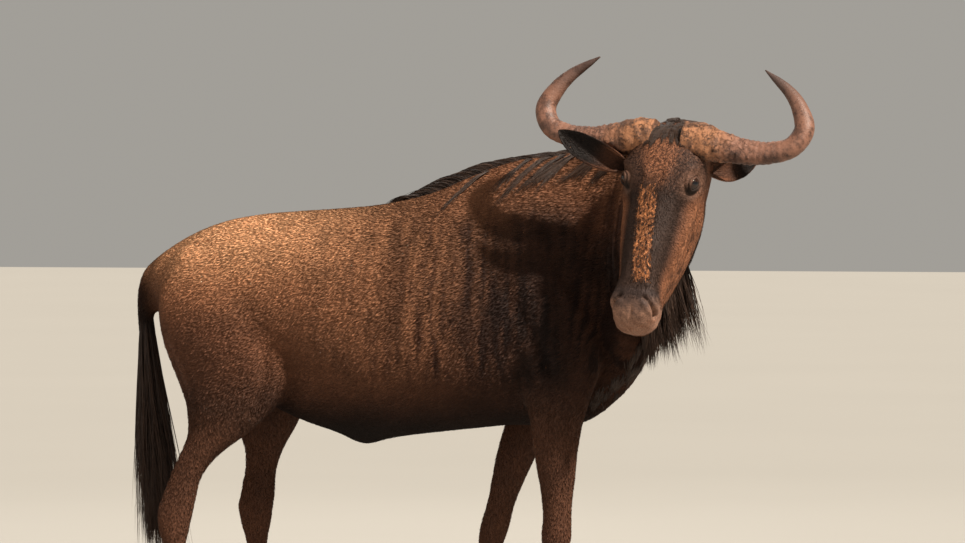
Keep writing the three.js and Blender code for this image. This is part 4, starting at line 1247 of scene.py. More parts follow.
    def face(self, skin: bpy.types.Object, weights: np.ndarray) -> None:
        """Shapes the head's own detail in its frame.

        Args:
            skin: the skin.
            weights: its regions, point by point.
        """
        lines = (
            Fold((
                (424, 54, -104), (452, 58, -104), (484, 54, -104),
                (508, 40, -102), (520, 14, -100), (521, 0, -100),
            ), 3.2, -6),
            Fold(((440, 58, -94), (484, 60, -92), (512, 42, -88), (524, 14, -86), (525, 0, -86)), 9, 3.5),
            Fold(((440, 58, -116), (484, 56, -117), (506, 38, -115), (514, 12, -113), (515, 0, -113)), 8, 3),
            Fold(self.nostril, 6.4, -19),
            Fold(((440, 26, -4), (450, 46, -4), (468, 64, -18), (484, 70, -44)), 7, 5),
            Fold(((462, 30, -22), (474, 44, -38), (480, 46, -58)), 7, 4),
            Fold(((470, 0, -16), (496, 0, -36), (516, 0, -66)), 4, -2.5),
            Fold(((120, 26, 6), (200, 25, 2), (300, 24, 4), (400, 24, -2)), 9, 3),
            Fold(((170, 66, -34), (240, 58, -46), (320, 48, -44), (390, 44, -40)), 16, -5),
            Fold(((150, 96, -70), (210, 86, -78), (280, 74, -82), (340, 62, -84)), 10, 4),
            Fold(((230, 78, -120), (300, 66, -118), (380, 56, -108), (430, 54, -104)), 9, -3),
            Fold(((100, 96, -20), (130, 102, -12), (164, 92, -24)), 7, 4),
            Fold(((104, 92, -56), (130, 98, -68), (160, 94, -66)), 5, -2.5),
        )
        points, out = Bench.places(skin) / MM, Bench.normals(skin)
        local = self.skull.into(points)
        outward = out @ self.skull.turn
        near = (local[:, 0] > -60) & (np.abs(local[:, 1]) < 140) & (local[:, 2] > -262)
        near &= weights[:, EAR] < 0.3
        push = np.zeros(len(points))
        for fold in lines:
            push[near] += fold.reach(local[near])
        creases = np.sin(local[:, 0] / 3.4 + 1.5 * np.sin(local[:, 1] / 15)) * bell(local[:, 0], 36, 22)
        push += near * creases * 1.1 * bell(local[:, 1], 0, 55) * step(-60, -20, local[:, 2])
        rough = np.sin(local[:, 0] / 4.2 + 3 * np.sin(local[:, 1] / 7))
        rough = rough * np.sin(local[:, 1] / 4.5 + local[:, 0] / 21)
        push += near * rough * 1.2 * self.bridge(local)
        local = local + outward * push[:, None]
        for side in Side:
            local = self.lids(local, side)
        Bench.place(skin, self.skull.out(local) * MM)

    def bridge(self, local: np.ndarray) -> np.ndarray:
        """How much each place belongs to the bristly patch down the nose."""
        width = 25 - 3 * step(180, 340, local[:, 0])
        middle = (local[:, 0] - 290) * 0.13
        along = step(110, 200, local[:, 0]) * step(428, 396, local[:, 0])
        return along * step(1.25, 0.8, np.abs(local[:, 1] - middle) / width) * step(-40, -18, local[:, 2])

    def lids(self, local: np.ndarray, side: Side) -> np.ndarray:
        """Draws the skin over the eyeball as lids, and opens the slit between them.

        Args:
            local: the skin's points in the head's frame.
            side: which eye.

        Returns:
            The points moved.
        """
        facing = unit(np.array([0.15, 0.8 * side.value, 0.58]))
        along = unit(np.array([1.0, 0, 0]) - facing * facing[0])
        across = np.cross(facing, along)
        centre = np.array(self.skull.eye) * (1, side.value, 1)
        away = local - centre
        a, b, c = away @ along, away @ across, away @ facing
        reach = np.linalg.norm(away, axis=1)
        lid = step(1.1, 0.75, np.sqrt((a / 36) ** 2 + (b / 30) ** 2)) * (c > -6)
        opening = 6.4 * (1 - (np.clip(a, -13.5, 13.5) / 13.5) ** 2)
        inside = step(1.6, -0.8, np.abs(b) - opening) * (np.abs(a) < 14) * (c > 0)
        crease = 2.4 * bell(np.abs(b) - opening, 8, 2.2) * (np.abs(a) < 24)
        shell = self.skull.eye_radius + 3.4 - crease
        wanted = np.where(lid > 0, reach + (shell - reach) * lid, reach)
        wanted = wanted + (self.skull.eye_radius - 4 - wanted) * inside
        return centre + unit(away) * wanted[:, None]


@dataclass
class Chart:
    """What the coat reads at each point of the skin: its lie, its colour and its region."""

    skin: Skin
    piece: bpy.types.Object

    def read(self) -> None:
        """Works out all values, point by point."""
        skin = self.skin
        self.points = Bench.places(self.piece)
        self.normals = Bench.normals(self.piece)
        self.own = self.points / MM - skin.shift
        self.local = skin.skull.into(self.own)
        self.piece_weights(skin)
        self.flow = self._flow()
        self.tint, self.stripes = self._markings()
        self.lay = self._lay()

    def piece_weights(self, skin: Skin) -> None:
        """Reads the regions, with the shift taken off first."""
        moved = Bench.places(self.piece)
        Bench.place(self.piece, moved - skin.shift * MM)
        self.weights = skin.weights(self.piece, 6)
        upper = step(620, 800, self.own[:, 2])[:, None]
        share = self.weights[:, FORE_RIGHT:TAIL] * upper
        self.weights[:, FORE_RIGHT:TAIL] -= share
        self.weights[:, TRUNK] += share.sum(1)
        Bench.place(self.piece, moved)

    def _flow(self) -> np.ndarray:
        """The way that the hair lies at each point."""
        body, skull = self.skin.body, self.skin.skull
        ahead = body.way.ahead(body.way.nearest(self.own))
        neck = np.column_stack([-ahead, np.full(len(ahead), -0.45)])
        side = np.clip(np.abs(self.own[:, 1]) / 180, 0, 1)
        trunk = np.column_stack([np.full(len(side), -1.0), 0 * side, -0.1 - 0.5 * side])
        cheek = step(20, 60, np.abs(self.local[:, 1]))[:, None]
        head = (1 - cheek) * skull.way(1, 0, 0) + cheek * skull.way(0.25, 0, -1)
        lower = np.tile((0.0, 0.0, -1.0), (len(side), 1))
        w = self.weights
        legs = w[:, FORE_RIGHT:EAR].sum(1)[:, None]
        flow = trunk * w[:, TRUNK, None] + neck * w[:, NECK, None] + head * w[:, HEAD, None] + lower * legs
        for ear in self.skin.ears:
            own = w[:, EAR] * (np.sign(self.local[:, 1]) == ear.side.value)
            out = np.array(ear.bend[2]) - np.array(ear.bend[0])
            flow = flow + own[:, None] * skull.way(*out)
        flow = flow - self.normals * (flow * self.normals).sum(1)[:, None]
        return unit(flow)

    def _lay(self) -> np.ndarray:
        """Each point's place along the body's bent line and round it, in metres, for the stripes."""
        body = self.skin.body
        share = body.way.nearest(self.own)
        along = np.where(self.own[:, 0] < 300, self.own[:, 0], 200 + share * body.way.length)
        blend = step(240, 420, self.own[:, 0])
        along = self.own[:, 0] * (1 - blend) + along * blend
        return np.column_stack([along * MM, self.own[:, 2] * MM, np.sign(self.own[:, 1]) * 0.3])

    def _markings(self) -> tuple[np.ndarray, np.ndarray]:
        """The coat's base colour, with painted sunlight and painted shade laid into it, and how strongly it
        is striped; also where shade is painted into the neck's folds.
        """
        x, y, z = self.own.T
        u, v, height = self.local.T
        w = self.weights
        tan, brown = np.array([0.42, 0.19, 0.092]), np.array([0.155, 0.062, 0.032])
        dark, black = np.array([0.036, 0.0155, 0.0095]), np.array([0.012, 0.008, 0.0065])
        pale = np.array([0.74, 0.4, 0.21])
        # Darker towards the belly and lighter towards the back: partly the coat's own colour, partly painted
        # shade underneath and painted sunlight on top; the pale tan on the top of the croup is a painted
        # sunlit highlight.
        trunk = laid(np.tile(brown, (len(x), 1)), dark, step(860, 620, z))
        trunk = laid(trunk, tan, step(880, 1120, z) * (0.24 + 0.76 * bell(x, -430, 240)))
        trunk = laid(trunk, pale, 0.95 * step(985, 1165, z) * bell(x, -420, 310))
        flank = bell(x, -10, 270) * step(700, 960, z) * step(40, 160, np.abs(y))
        trunk = laid(trunk, tan, 0.42 * flank)
        # Darker over the shoulder: the coat's dark forequarter with a painted shadow of the head on it.
        trunk = laid(trunk, dark, 0.97 * bell(x, 400, 250) * step(1290, 1130, z))
        # Painted shadow beside the tail root.
        trunk = laid(trunk, dark, 0.3 * bell(x, -625, 40) * step(1100, 980, z))
        trunk = laid(trunk, dark, 0.4 * bell(x, -480, 170) * step(980, 830, z))
        # Painted shade in the flank fold in front of the stifle.
        trunk = laid(trunk, dark, 0.75 * bell(x, -290, 45) * bell(z, 700, 70))
        # Near black low under the belly: partly the coat's own colour, partly painted shade.
        trunk = laid(trunk, black, step(750, 640, z) * 0.85)
        # The neck: darker below, partly its own colour and partly painted shade from the head, and lighter
        # on top with painted sunlight.
        neck = laid(np.tile(brown, (len(x), 1)), dark, step(1220, 1040, z))
        neck = laid(neck, tan, 0.42 * step(1170, 1300, z))
        # The legs darkened all over as painted shade, most high up under the body; near the hooves they go
        # dark brown.
        legs = laid(np.tile(brown * 0.5, (len(x), 1)), brown * 0.62, step(620, 300, z))
        legs = laid(legs, dark, step(190, 90, z))
        head = self._face_colours(u, v, height, brown, dark, black)
        tail = laid(np.tile(dark, (len(x), 1)), black, step(1020, 860, z))
        share = w[:, FORE_RIGHT:TAIL].sum(1)[:, None]
        tint = trunk * w[:, TRUNK, None] + neck * w[:, NECK, None] + head * w[:, HEAD, None]
        tint = tint + legs * share + tail * w[:, TAIL, None]
        ribs = step(-300, -60, x) * step(690, 820, z) * step(1260, 1140, z)
        stripes = w[:, TRUNK] * ribs * (0.6 + 0.4 * step(-140, 140, x)) + w[:, NECK] * 0.9
        # Where shade is painted into the grooves of the folds on the inner side of the bent neck.
        bend = self.skin.body.way.nearest(self.own)
        inner = step(-20, -70, y) * bell(bend, 0.74, 0.13) * step(860, 1000, z)
        self.folded = inner * (w[:, NECK] + 0.5 * w[:, TRUNK]) * 0.85
        for ear in self.skin.ears:
            own = w[:, EAR] * (np.sign(v) == ear.side.value)
            inward = self.normals @ self.skin.skull.way(*ear.opening)
            hollow = step(0.1, 0.6, inward)[:, None]
            reach = np.linalg.norm(self.local - np.array(ear.bend[0]), axis=1)
            back = laid(np.tile(brown * 1.5, (len(u), 1)), dark, step(120, 190, reach))
            inner = laid(np.tile(black, (len(u), 1)), brown * 1.1, bell(reach, 60, 30) * 0.5)
            tint = tint + own[:, None] * (back + (inner - back) * hollow)
        return tint, np.clip(stripes, 0, 1)

    def _face_colours(self, u: np.ndarray, v: np.ndarray, height: np.ndarray, brown: np.ndarray,
                      dark: np.ndarray, black: np.ndarray) -> np.ndarray:
        """The face: brown cheeks, a black mask beside the orange bridge, a lighter brown pad on the nose and
        painted shade in the nostrils.

        Args:
            u: places down the face.
            v: places to its left.
            height: places out of the forehead.
            brown: the coat's brown.
            dark: its dark brown.
            black: its black.

        Returns:
            The colour of each place.
        """
        side = np.abs(v)
        face = np.tile(brown * 1.1, (len(u), 1))
        brow = step(215, 150, u) * step(-84, -40, height)
        face = laid(face, (0.3, 0.125, 0.065), brow)
        face = laid(face, (0.075, 0.038, 0.026), brow * step(20, 44, side + 0.25 * (u - 120)) * 0.75)
        mask = step(-66, -34, height) * step(120, 190, u) * step(470, 436, u)
        face = laid(face, (0.034, 0.019, 0.014), mask * 0.97)
        cheek = step(-44, -84, height) * step(130, 200, u) * step(470, 420, u)
        face = laid(face, (0.33, 0.135, 0.066), cheek * 0.92)
        face = laid(face, dark, step(60, 0, u) * step(-60, -130, height) * 0.7)
        face = laid(face, black, step(34, 8, u) * step(-70, -30, height) * step(54, 36, side))
        patch = self.skin.bridge(self.local)
        face = laid(face, (0.035, 0.019, 0.014), patch)
        around = np.linalg.norm(np.column_stack([(u - 137) / 1.25, side - 79, height + 38]), axis=1)
        face = laid(face, (0.07, 0.036, 0.025), bell(around, 42, 13) * step(170, 130, u) * 0.7)
        face = laid(face, (0.2, 0.12, 0.09), bell(around, 28, 6) * 0.3)
        face = laid(face, (0.016, 0.011, 0.009), step(25, 19, around) * 0.9)
        nose = step(432, 456, u) * step(-112, -90, height)
        face = laid(face, (0.045, 0.028, 0.024), step(418, 436, u) * step(-60, -30, height))
        spots = 0.8 + 0.35 * np.sin(u / 5.3 + np.sin(v / 4.1)) * np.sin(v / 6.7 + height / 5)
        face = laid(face, (0.26, 0.14, 0.095), nose * step(-8, -34, height + 0.12 * side) * spots)
        # Near black in the nostril grooves: painted shade in the openings.
        nostril_shade = -Fold(self.skin.nostril, 9.5, -1.0).reach(self.local)
        face = laid(face, (0.006, 0.004, 0.004), step(0.3, 0.75, nostril_shade))
        still = step(46, 26, around)
        self.rough = np.column_stack([patch, brow * (1 - patch), cheek * 0.85]) * (1 - still)[:, None]
        self.rough *= self.weights[:, HEAD, None]
        return laid(face, dark, step(-112, -124, height) * step(380, 440, u) * 0.8)

    def dress(self) -> None:
        """Stores the values on the skin itself."""
        count = len(self.points)
        Bench.mark(self.piece, "tint", np.column_stack([self.tint * 0.92, np.ones(count)]))
        Bench.mark(self.piece, "lay", self.lay)
        Bench.mark(self.piece, "stripes", self.stripes)
        Bench.mark(self.piece, "folded", self.folded)
        Bench.mark(self.piece, "rough", self.rough)
        Bench.mark(self.piece, "draw", np.full(count, 0.5))
        Bench.mark(self.piece, "tip", np.zeros(count))


@dataclass
class Strands:
    """Many tapered strands as one object, each a closed body of three-sided rings and a tip."""

    name: str

    def build(self, paths: np.ndarray, width: np.ndarray, thick: np.ndarray, up: np.ndarray,
              patch: np.ndarray, marks: dict[str, np.ndarray]) -> bpy.types.Object:
        """Makes the strands.

        Args:
            paths: strands by points along them, the last one the tip, in metres.
            width: half the width of each strand at each ring.
            thick: its thickness at each ring.
            up: the direction away from the skin at each ring.
            patch: each root's place on the unwrap.
            marks: values for each strand, stored on its points.

        Returns:
            The object.
        """
        count, steps = paths.shape[0], paths.shape[1] - 1
        ahead = unit(np.diff(paths, axis=1))
        beside = unit(np.cross(up, ahead))
        lift = unit(np.cross(ahead, beside))
        base = paths[:, :-1]
        left = base + beside * width[..., None]
        right = base - beside * width[..., None]
        top = base + lift * thick[..., None]
        rings = np.stack([left, right, top], axis=2)
        size = steps * 3 + 1
        places = np.concatenate([rings.reshape(count, steps * 3, 3), paths[:, -1:]], axis=1)
        first = (np.arange(count) * size)[:, None, None]
        end, last = size - 1, (steps - 1) * 3
        tris = np.array([(0, 1, 2), (last, last + 2, end), (last + 2, last + 1, end), (last + 1, last, end)])
        quads = [
            (k + i, k + j, k + j + 3, k + i + 3)
            for i, j in ((0, 2), (2, 1), (1, 0)) for k in range(0, last, 3)
        ]
        faces = [(first + tris[None]).reshape(-1, 3)]
        if quads:
            faces.append((first + np.array(quads)[None]).reshape(-1, 4))
        piece = Bench.sheet_of(self.name, places.reshape(-1, 3), faces)
        self._chart(piece, steps, patch)
        along = np.concatenate([np.repeat(np.arange(steps) / steps, 3), [1.0]])
        Bench.mark(piece, "tip", np.tile(along, count))
        for name, values in marks.items():
            Bench.mark(piece, name, np.repeat(values, size, axis=0))
        return piece

    @staticmethod
    def _chart(piece: bpy.types.Object, steps: int, patch: np.ndarray, reach: float = 0.003) -> None:
        """Lays each strand as a small patch at its root's place on the unwrap.

        Args:
            piece: the strands.
            steps: how many rings each has.
            patch: each root's place on the unwrap.
            reach: how long a patch is.
        """
        across = np.concatenate([np.tile([-0.5, 0.5, 0.0], steps), [0.0]])
        along = np.concatenate([np.repeat(np.arange(steps) / steps, 3), [1.0]])
        offsets = np.stack([across, along - 0.5], axis=1) * reach
        spots = (np.clip(patch, 0.003, 0.997)[:, None] + offsets[None]).reshape(-1, 2)
        corners = np.empty(len(piece.data.loops), np.int32)
        piece.data.loops.foreach_get("vertex_index", corners)
        layer = piece.data.uv_layers.new(name="OFBake")
        layer.uv.foreach_set("vector", spots[corners].astype(np.float32).ravel())


@dataclass
class Coat:
    """The short coat: thin tufts over the skin that lie along the body."""

    chart: Chart
    finish: bpy.types.Material
    seed: int = 5

    def build(self) -> list[bpy.types.Object]:
        """Grows the coat, one piece for each part of the body.

        Returns:
            The pieces.
        """
        self.random = np.random.default_rng(self.seed)
        self.tree = Bench.tree(self.chart.piece)
        mesh = self.chart.piece.data
        mesh.calc_loop_triangles()
        flat = np.empty(len(mesh.loop_triangles) * 3, np.int32)
        mesh.loop_triangles.foreach_get("vertices", flat)
        self.corners = flat.reshape(-1, 3)
        a, b, c = (self.chart.points[self.corners[:, k]] for k in range(3))
        self.areas = np.linalg.norm(np.cross(b - a, c - a), axis=1) / 2
        reach = self.chart.weights[self.corners].mean(1).cumsum(1)
        self.owner = (reach < self.random.random((len(reach), 1)) * reach[:, -1:]).sum(1)
        rear = self.chart.own[self.corners[:, 0], 0] < -60
        right = self.chart.own[self.corners[:, 0], 1] < 0
        trunk = self.owner == TRUNK
        plans = [
            ("coat_croup_right", trunk & rear & right, 44000, 15, 2.3, 2.3),
            ("coat_croup_left", trunk & rear & ~right, 31000, 15, 2.4, 2.3),
            ("coat_ribs_right", trunk & ~rear & right, 47000, 16, 2.3, 2.6),
            ("coat_ribs_left", trunk & ~rear & ~right, 35000, 16, 2.4, 2.6),
            ("coat_neck", self.owner == NECK, 26000, 17, 2.2, 3.0),
            ("coat_head", self.owner == HEAD, 34000, 8, 1.4, 1.6),
            ("coat_forelegs", (self.owner == FORE_RIGHT) | (self.owner == FORE_LEFT), 17000, 12, 1.9, 2.2),
            ("coat_hindlegs", (self.owner == HIND_RIGHT) | (self.owner == HIND_LEFT), 18000, 12, 1.9, 2.4),
            ("coat_tail", self.owner == TAIL, 6000, 16, 2.0, 3.0),
            ("coat_ears", self.owner == EAR, 9000, 9, 1.4, 1.6),
        ]
        pieces = []
        for name, where, count, length, width, lift in plans:
            pieces.append(self.grown(name, where, count, length, width, lift))
        return pieces

    def grown(self, name: str, where: np.ndarray, count: int, length: float, width: float,
              lift: float) -> bpy.types.Object:
        """Grows one piece of coat.

        Args:
            name: the piece's name.
            where: the faces of skin that it covers.
            count: how many tufts.
            length: their length in millimetres.
            width: their width.
            lift: how far their tips stand off the skin.

        Returns:
            The piece.
        """
        chart, random = self.chart, self.random
        faces = np.nonzero(where)[0]
        shares = self.areas[faces] / self.areas[faces].sum() * count
        faces = np.repeat(faces, np.floor(shares + random.random(len(faces))).astype(int))
        spots = np.sort(random.random((len(faces), 2)), axis=1)
        bary = np.column_stack([spots[:, 0], spots[:, 1] - spots[:, 0], 1 - spots[:, 1]])
        corners = self.corners[faces]

        def read(values: np.ndarray) -> np.ndarray:
            """A value at each root, from the corners of its face."""
            return (values[corners] * bary.reshape(*bary.shape, *[1] * (values.ndim - 1))).sum(1)

        local = read(chart.local)
        bare = self.bare(local) if name == "coat_head" else np.zeros(len(local), bool)
        keep = ~bare
        faces, bary, corners = faces[keep], bary[keep], corners[keep]
        local = local[keep]
        root, normal, flow = read(chart.points), unit(read(chart.normals)), read(chart.flow)
        patch = chart.skin.bridge(local) if name == "coat_head" else np.zeros(len(root))
        stray = random.normal(0, 0.12 + 0.35 * patch)
        flow = unit(flow + np.cross(normal, flow) * stray[:, None])
        long = length * random.uniform(0.7, 1.25, len(root)) * (1 + 0.5 * patch) * MM
        raised = lift * random.uniform(0.6, 1.3, len(root)) * (1 + 2.2 * patch) * MM
        tips = root + flow * long[:, None]
        for i, tip in enumerate(tips):
            spot, out, _, _ = self.tree.find_nearest(tip)
            tips[i] = spot + out * raised[i]
        base = root - normal * 0.0008
        paths = np.stack([base, tips], axis=1)
        half = (width * random.uniform(0.7, 1.2, len(root)) * MM / 2)[:, None]
        draw = random.random(len(root))
        marks = {
            "tint": np.column_stack([read(chart.tint), np.ones(len(root))]),
            "lay": read(chart.lay),
            "stripes": read(chart.stripes),
            "folded": read(chart.folded),
            "rough": read(chart.rough),
            "draw": draw,
        }
        patches = self.unwrapped(name, root, local)
        piece = Strands(name).build(paths, half, half * 1.1, normal[:, None], patches, marks)
        piece.data.materials.append(self.finish)
        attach(piece, "root")
        LOG.info("%s: %d tufts", name, len(root))
        return piece

    def bare(self, local: np.ndarray) -> np.ndarray:
        """The places of the face that grow no hair: eyes, nostrils, lips and the pad of the nose."""
        mirrored = np.abs(local) * (0, 1, 0) + local * (1, 0, 1)
        eye = np.linalg.norm((mirrored - self.chart.skin.skull.eye) / (1.3, 1, 0.9), axis=1) < 24
        pad = (local[:, 0] > 452) & (local[:, 2] > -100)
        return eye | pad

    @staticmethod
    def unwrapped(name: str, root: np.ndarray, local: np.ndarray) -> np.ndarray:
        """Each root's place on an unwrap of its part, along it and round its middle."""
        if name == "coat_head":
            along, round_it = local[:, 0], np.arctan2(local[:, 1], local[:, 2] + 110)
        elif "leg" in name or "tail" in name:
            left = root[:, 1] > np.median(root[:, 1])
            middle = np.where(left, root[left, 1].mean(), root[~left, 1].mean())
            lengthways = np.where(left, root[left, 0].mean(), root[~left, 0].mean())
            round_it = np.arctan2(root[:, 1] - middle, root[:, 0] - lengthways) + left * 2 * math.pi
            along = root[:, 2]
        else:
            along, round_it = root[:, 0], np.arctan2(root[:, 2] - 0.95, root[:, 1] - root[:, 1].mean())
        columns = [(c - c.min()) / max(np.ptp(c), 1e-9) for c in (along, round_it)]
        return np.column_stack(columns)


@dataclass
class LongHair:
    """Mane, beard, throat hair, forelock and tassel, as strands that gather into locks."""

    chart: Chart
    finish: bpy.types.Material
    seed: int = 23

    def __post_init__(self) -> None:
        """Gets what every growth needs."""
        self.random = np.random.default_rng(self.seed)
        self.tree = Bench.tree(self.chart.piece)
        self.body, self.skull = self.chart.skin.body, self.chart.skin.skull

    def build(self) -> None:
        """Grows all of it."""
        self.mane()
        self.beard()
        self.throat()
        self.forelock()
        self.tassel()

    def strands(self, name: str, locks: dict[str, np.ndarray], hairs: int, width: float, bend: float,
                clump: float, clear: float, curl: float = 0.02) -> None:
        """Grows the strands of one growth.

        Args:
            name: the piece's name.
            locks: root, out, lie, length, radius and sway of each lock, in the animal's frame.
            hairs: how many strands a lock has.
            width: half a strand's width in millimetres.
            bend: how soon a strand bends over.
            clump: how far the strands of a lock meet at its tip.
            clear: how far the strands stay off the skin.
            curl: how far they swing to the sides, as a share of their length.
        """
        random = self.random
        pick = np.repeat(np.arange(len(locks["root"])), hairs)
        count = len(pick)
        out, lie = unit(locks["out"])[pick], unit(locks["lie"])[pick]
        across = unit(np.cross(out, lie))
        forward = np.cross(across, out)
        offset = np.clip(random.normal(0, 0.5, (count, 2)), -1.2, 1.2) * locks["radius"][pick][:, None]
        root = locks["root"][pick] + across * offset[:, :1] + forward * offset[:, 1:]
        normal = np.empty_like(root)
        for i, place in enumerate((root + self.chart.skin.shift) * MM):
            spot, facing, _, _ = self.tree.find_nearest(place)
            root[i] = np.array(spot) / MM - self.chart.skin.shift - np.array(facing) * 1.5
            normal[i] = facing
        full = locks["length"][pick]
        length = full * random.uniform(0.62, 1.06, count)
        t = np.linspace(0, 1, 8)[None, :, None]

        def line(start: np.ndarray, long: np.ndarray, sway: np.ndarray) -> np.ndarray:
            """A bent line for each strand, from its start."""
            long, sway = long[:, None], sway[:, None]
            knee = start + out * long * (1 - bend) * 0.5 + lie * long * bend * 0.4
            end = knee + lie * long * 0.7 + across * long * sway
            return (1 - t) ** 2 * start[:, None] + 2 * t * (1 - t) * knee[:, None] + t * t * end[:, None]

        sway = locks["sway"][pick]
        path = line(root, length, sway + random.normal(0, 0.07, count) * np.minimum(1, 180 / length))
        middle = line(locks["root"][pick], length, sway)
        path = path + (middle - path) * clump * t**0.8
        wave = np.sin(t * random.uniform(3, 7, (count, 1, 1)) + random.uniform(0, 6.3, (count, 1, 1)))
        path = path + across[:, None] * wave * t * (length * curl)[:, None, None]
        path = path + random.normal(0, 1, (count, 1, 3)) * t**2 * (length * 0.02)[:, None, None]
        path = (path + self.chart.skin.shift) * MM
        for i in range(count):
            for k in range(1, 8):
                spot, facing, _, away = self.tree.find_nearest(Vector(path[i, k]), 0.05)
                if spot is None:
                    continue
                height = (Vector(path[i, k]) - spot).dot(facing)
                if height < clear * MM:
                    path[i, k] = np.array(spot + facing * (clear * random.uniform(0.6, 2.2) * MM))
        path[..., 2] = np.maximum(path[..., 2], 0.02)
        swell = np.array([0.75, 1, 1, 0.95, 0.8, 0.6, 0.35])
        half = width * random.uniform(0.7, 1.25, count)[:, None] * swell * MM
        up = np.repeat(unit(random.normal(0, 1, (count, 3)) + normal * 1.5)[:, None], 7, axis=1)
        patch = np.column_stack([self._share(root[:, 0] + root[:, 1] * 0.3), self._share(root[:, 2])])
        piece = Strands(name).build(path, half, half * 0.9, up, patch, {"draw": random.random(count)})
        piece.data.materials.append(self.finish)
        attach(piece, "root")
        LOG.info("%s: %d strands", name, count)

    @staticmethod
    def _share(values: np.ndarray) -> np.ndarray:
        """Values as shares of their range."""
        return (values - values.min()) / max(np.ptp(values), 1e-9)

    def mane(self) -> None:
        """The mane rises from the crest, rakes back and falls mostly over the far side."""
        random = self.random
        t = np.sort(random.random(230))
        near = (random.random(len(t)) < 0.14) & (t > 0.3) & (t < 0.84)
        side = np.where(near, -1.0, 1.0)
        angle = math.pi / 2 - side * random.uniform(-0.04, 0.16, len(t))
        share = np.minimum(0.97, 0.14 + 0.84 * (t - 0.38) / 0.62)
        on_neck = share > 0.14
        root = np.empty((len(t), 3))
        for i in range(len(t)):
            turn = angle[i : i + 1]
            if on_neck[i]:
                root[i] = self.body.neck_points(share[i : i + 1], turn)[0, 0]
            else:
                root[i] = self.body.trunk_points(np.array([30 + 640 * t[i]]), turn)[0, 0]
        heading = self.body.way.ahead(np.clip(share, 0, 1))
        ahead = np.where(on_neck[:, None], np.column_stack([heading, np.zeros(len(t))]), (1.0, 0, 0))
        across = np.column_stack([-ahead[:, 1], ahead[:, 0], np.zeros(len(t))]) * side[:, None]
        up, down = np.array([0, 0, 1.0]), np.array([0, 0, -1.0])
        out = up + 0.25 * across - 0.75 * ahead
        fall = np.where(near, 0.85, 0.5 + 0.12 * t)[:, None]
        rake = np.where(near, 0.62, 0.95 - 0.4 * t)
        lie = unit(across * (1 - fall) + down * fall) - ahead * rake[:, None]
        full = np.where(near, 205, 80 + 130 * np.sin(math.pi * np.clip(0.06 + t * 0.84, 0, 1)))
        nape = (step(0.7, 0.86, t) * ~near)[:, None]
        out = out + nape * (0.6 * ahead + 0.4 * up)
        lie = lie + nape * (0.35 * across - ahead - 0.3 * up - lie)
        full = (full + nape[:, 0] * (160 - full)) * (1 - 0.66 * step(0.88, 0.95, t) * ~near)
        beside = near[:, None]
        out = np.where(beside, 0.7 * across + 0.2 * up - 0.45 * ahead, out)
        locks = {
            "root": root, "out": out, "lie": lie, "length": full * random.uniform(0.8, 1.15, len(t)),
            "radius": random.uniform(9, 14, len(t)) * np.where(near, 0.55, 1),
            "sway": random.uniform(-0.1, 0.1, len(t)),
        }
        halves = {"mane_crest": t < 0.55, "mane_nape": t >= 0.55}
        for name, half in halves.items():
            self.strands(name, {key: value[half] for key, value in locks.items()}, 26, 1.15, 0.4, 0.72, 3.0)

    def beard(self) -> None:
        """The beard hangs from the jaw."""
        random = self.random
        count = 90
        t = random.random(count)
        place = random.uniform(-1, 1, count)
        root = np.empty((count, 3))
        for i in range(count):
            turn = np.array([-math.pi / 2 + place[i] * 0.24])
            root[i] = self.skull.out(self.skull.points(np.array([428 - 206 * t[i]]), turn)[0, 0])
        aside = self.skull.way(0, 1, 0)
        out = np.tile(self.skull.way(0.1, 0, -1), (count, 1)) + aside * (0.2 * place)[:, None]
        lie = np.array([0, 0, -1.0]) + aside * (0.05 * place)[:, None]
        full = 128 + 88 * t - 52 * bell(t, 0.4, 0.13)
        locks = {
            "root": root, "out": out, "lie": lie, "length": full * random.uniform(0.75, 1.12, count),
            "radius": random.uniform(8, 13, count), "sway": random.uniform(-0.18, 0.1, count),
        }
        self.strands("beard", locks, 46, 1.0, 0.55, 0.66, 2.0, 0.05)

    def throat(self) -> None:
        """Shorter hair carries the beard on down the throat."""
        random = self.random
        count = 60
        t = random.random(count)
        root = np.empty((count, 3))
        for i in range(count):
            turn = np.array([-math.pi / 2 + random.uniform(-0.3, 0.3)])
            root[i] = self.body.neck_points(np.array([0.8 - 0.42 * t[i]]), turn)[0, 0]
        locks = {
            "root": root,
            "out": np.tile((0.35, -0.2, -1.0), (count, 1)),
            "lie": np.tile((0, 0, -1.0), (count, 1)),
            "length": random.uniform(40, 84, count) * (1 - 0.45 * t),
            "radius": random.uniform(10, 18, count), "sway": random.uniform(-0.1, 0.1, count),
        }
        self.strands("throat_hair", locks, 24, 1.1, 0.5, 0.7, 1.5)

    def forelock(self) -> None:
        """A short black tuft between the horns, lying down the brow and back over the poll."""
        random = self.random
        count = 110
        v = random.uniform(-34, 34, count)
        front = random.random(count) < 0.55
        root = np.empty((count, 3))
        for i in range(count):
            turn = np.array([math.pi / 2 - v[i] / 95])
            u = random.uniform(-14, 34) if front[i] else random.uniform(-56, 4)
            root[i] = self.skull.out(self.skull.points(np.array([u]), turn)[0, 0])
        rows = list(zip(front, v))
        out = np.array([self.skull.way(1 if f else -0.5, x / 90, 0.16 if f else -0.3) for f, x in rows])
        lie = np.array([self.skull.way(1 if f else -0.12, x / 60, -0.15 if f else -1) for f, x in rows])
        locks = {
            "root": root, "out": out, "lie": lie, "length": random.uniform(26, 48, count),
            "radius": random.uniform(5, 9, count), "sway": random.uniform(-0.25, 0.25, count),
        }
        self.strands("forelock", locks, 20, 0.8, 0.7, 0.5, 1.0)

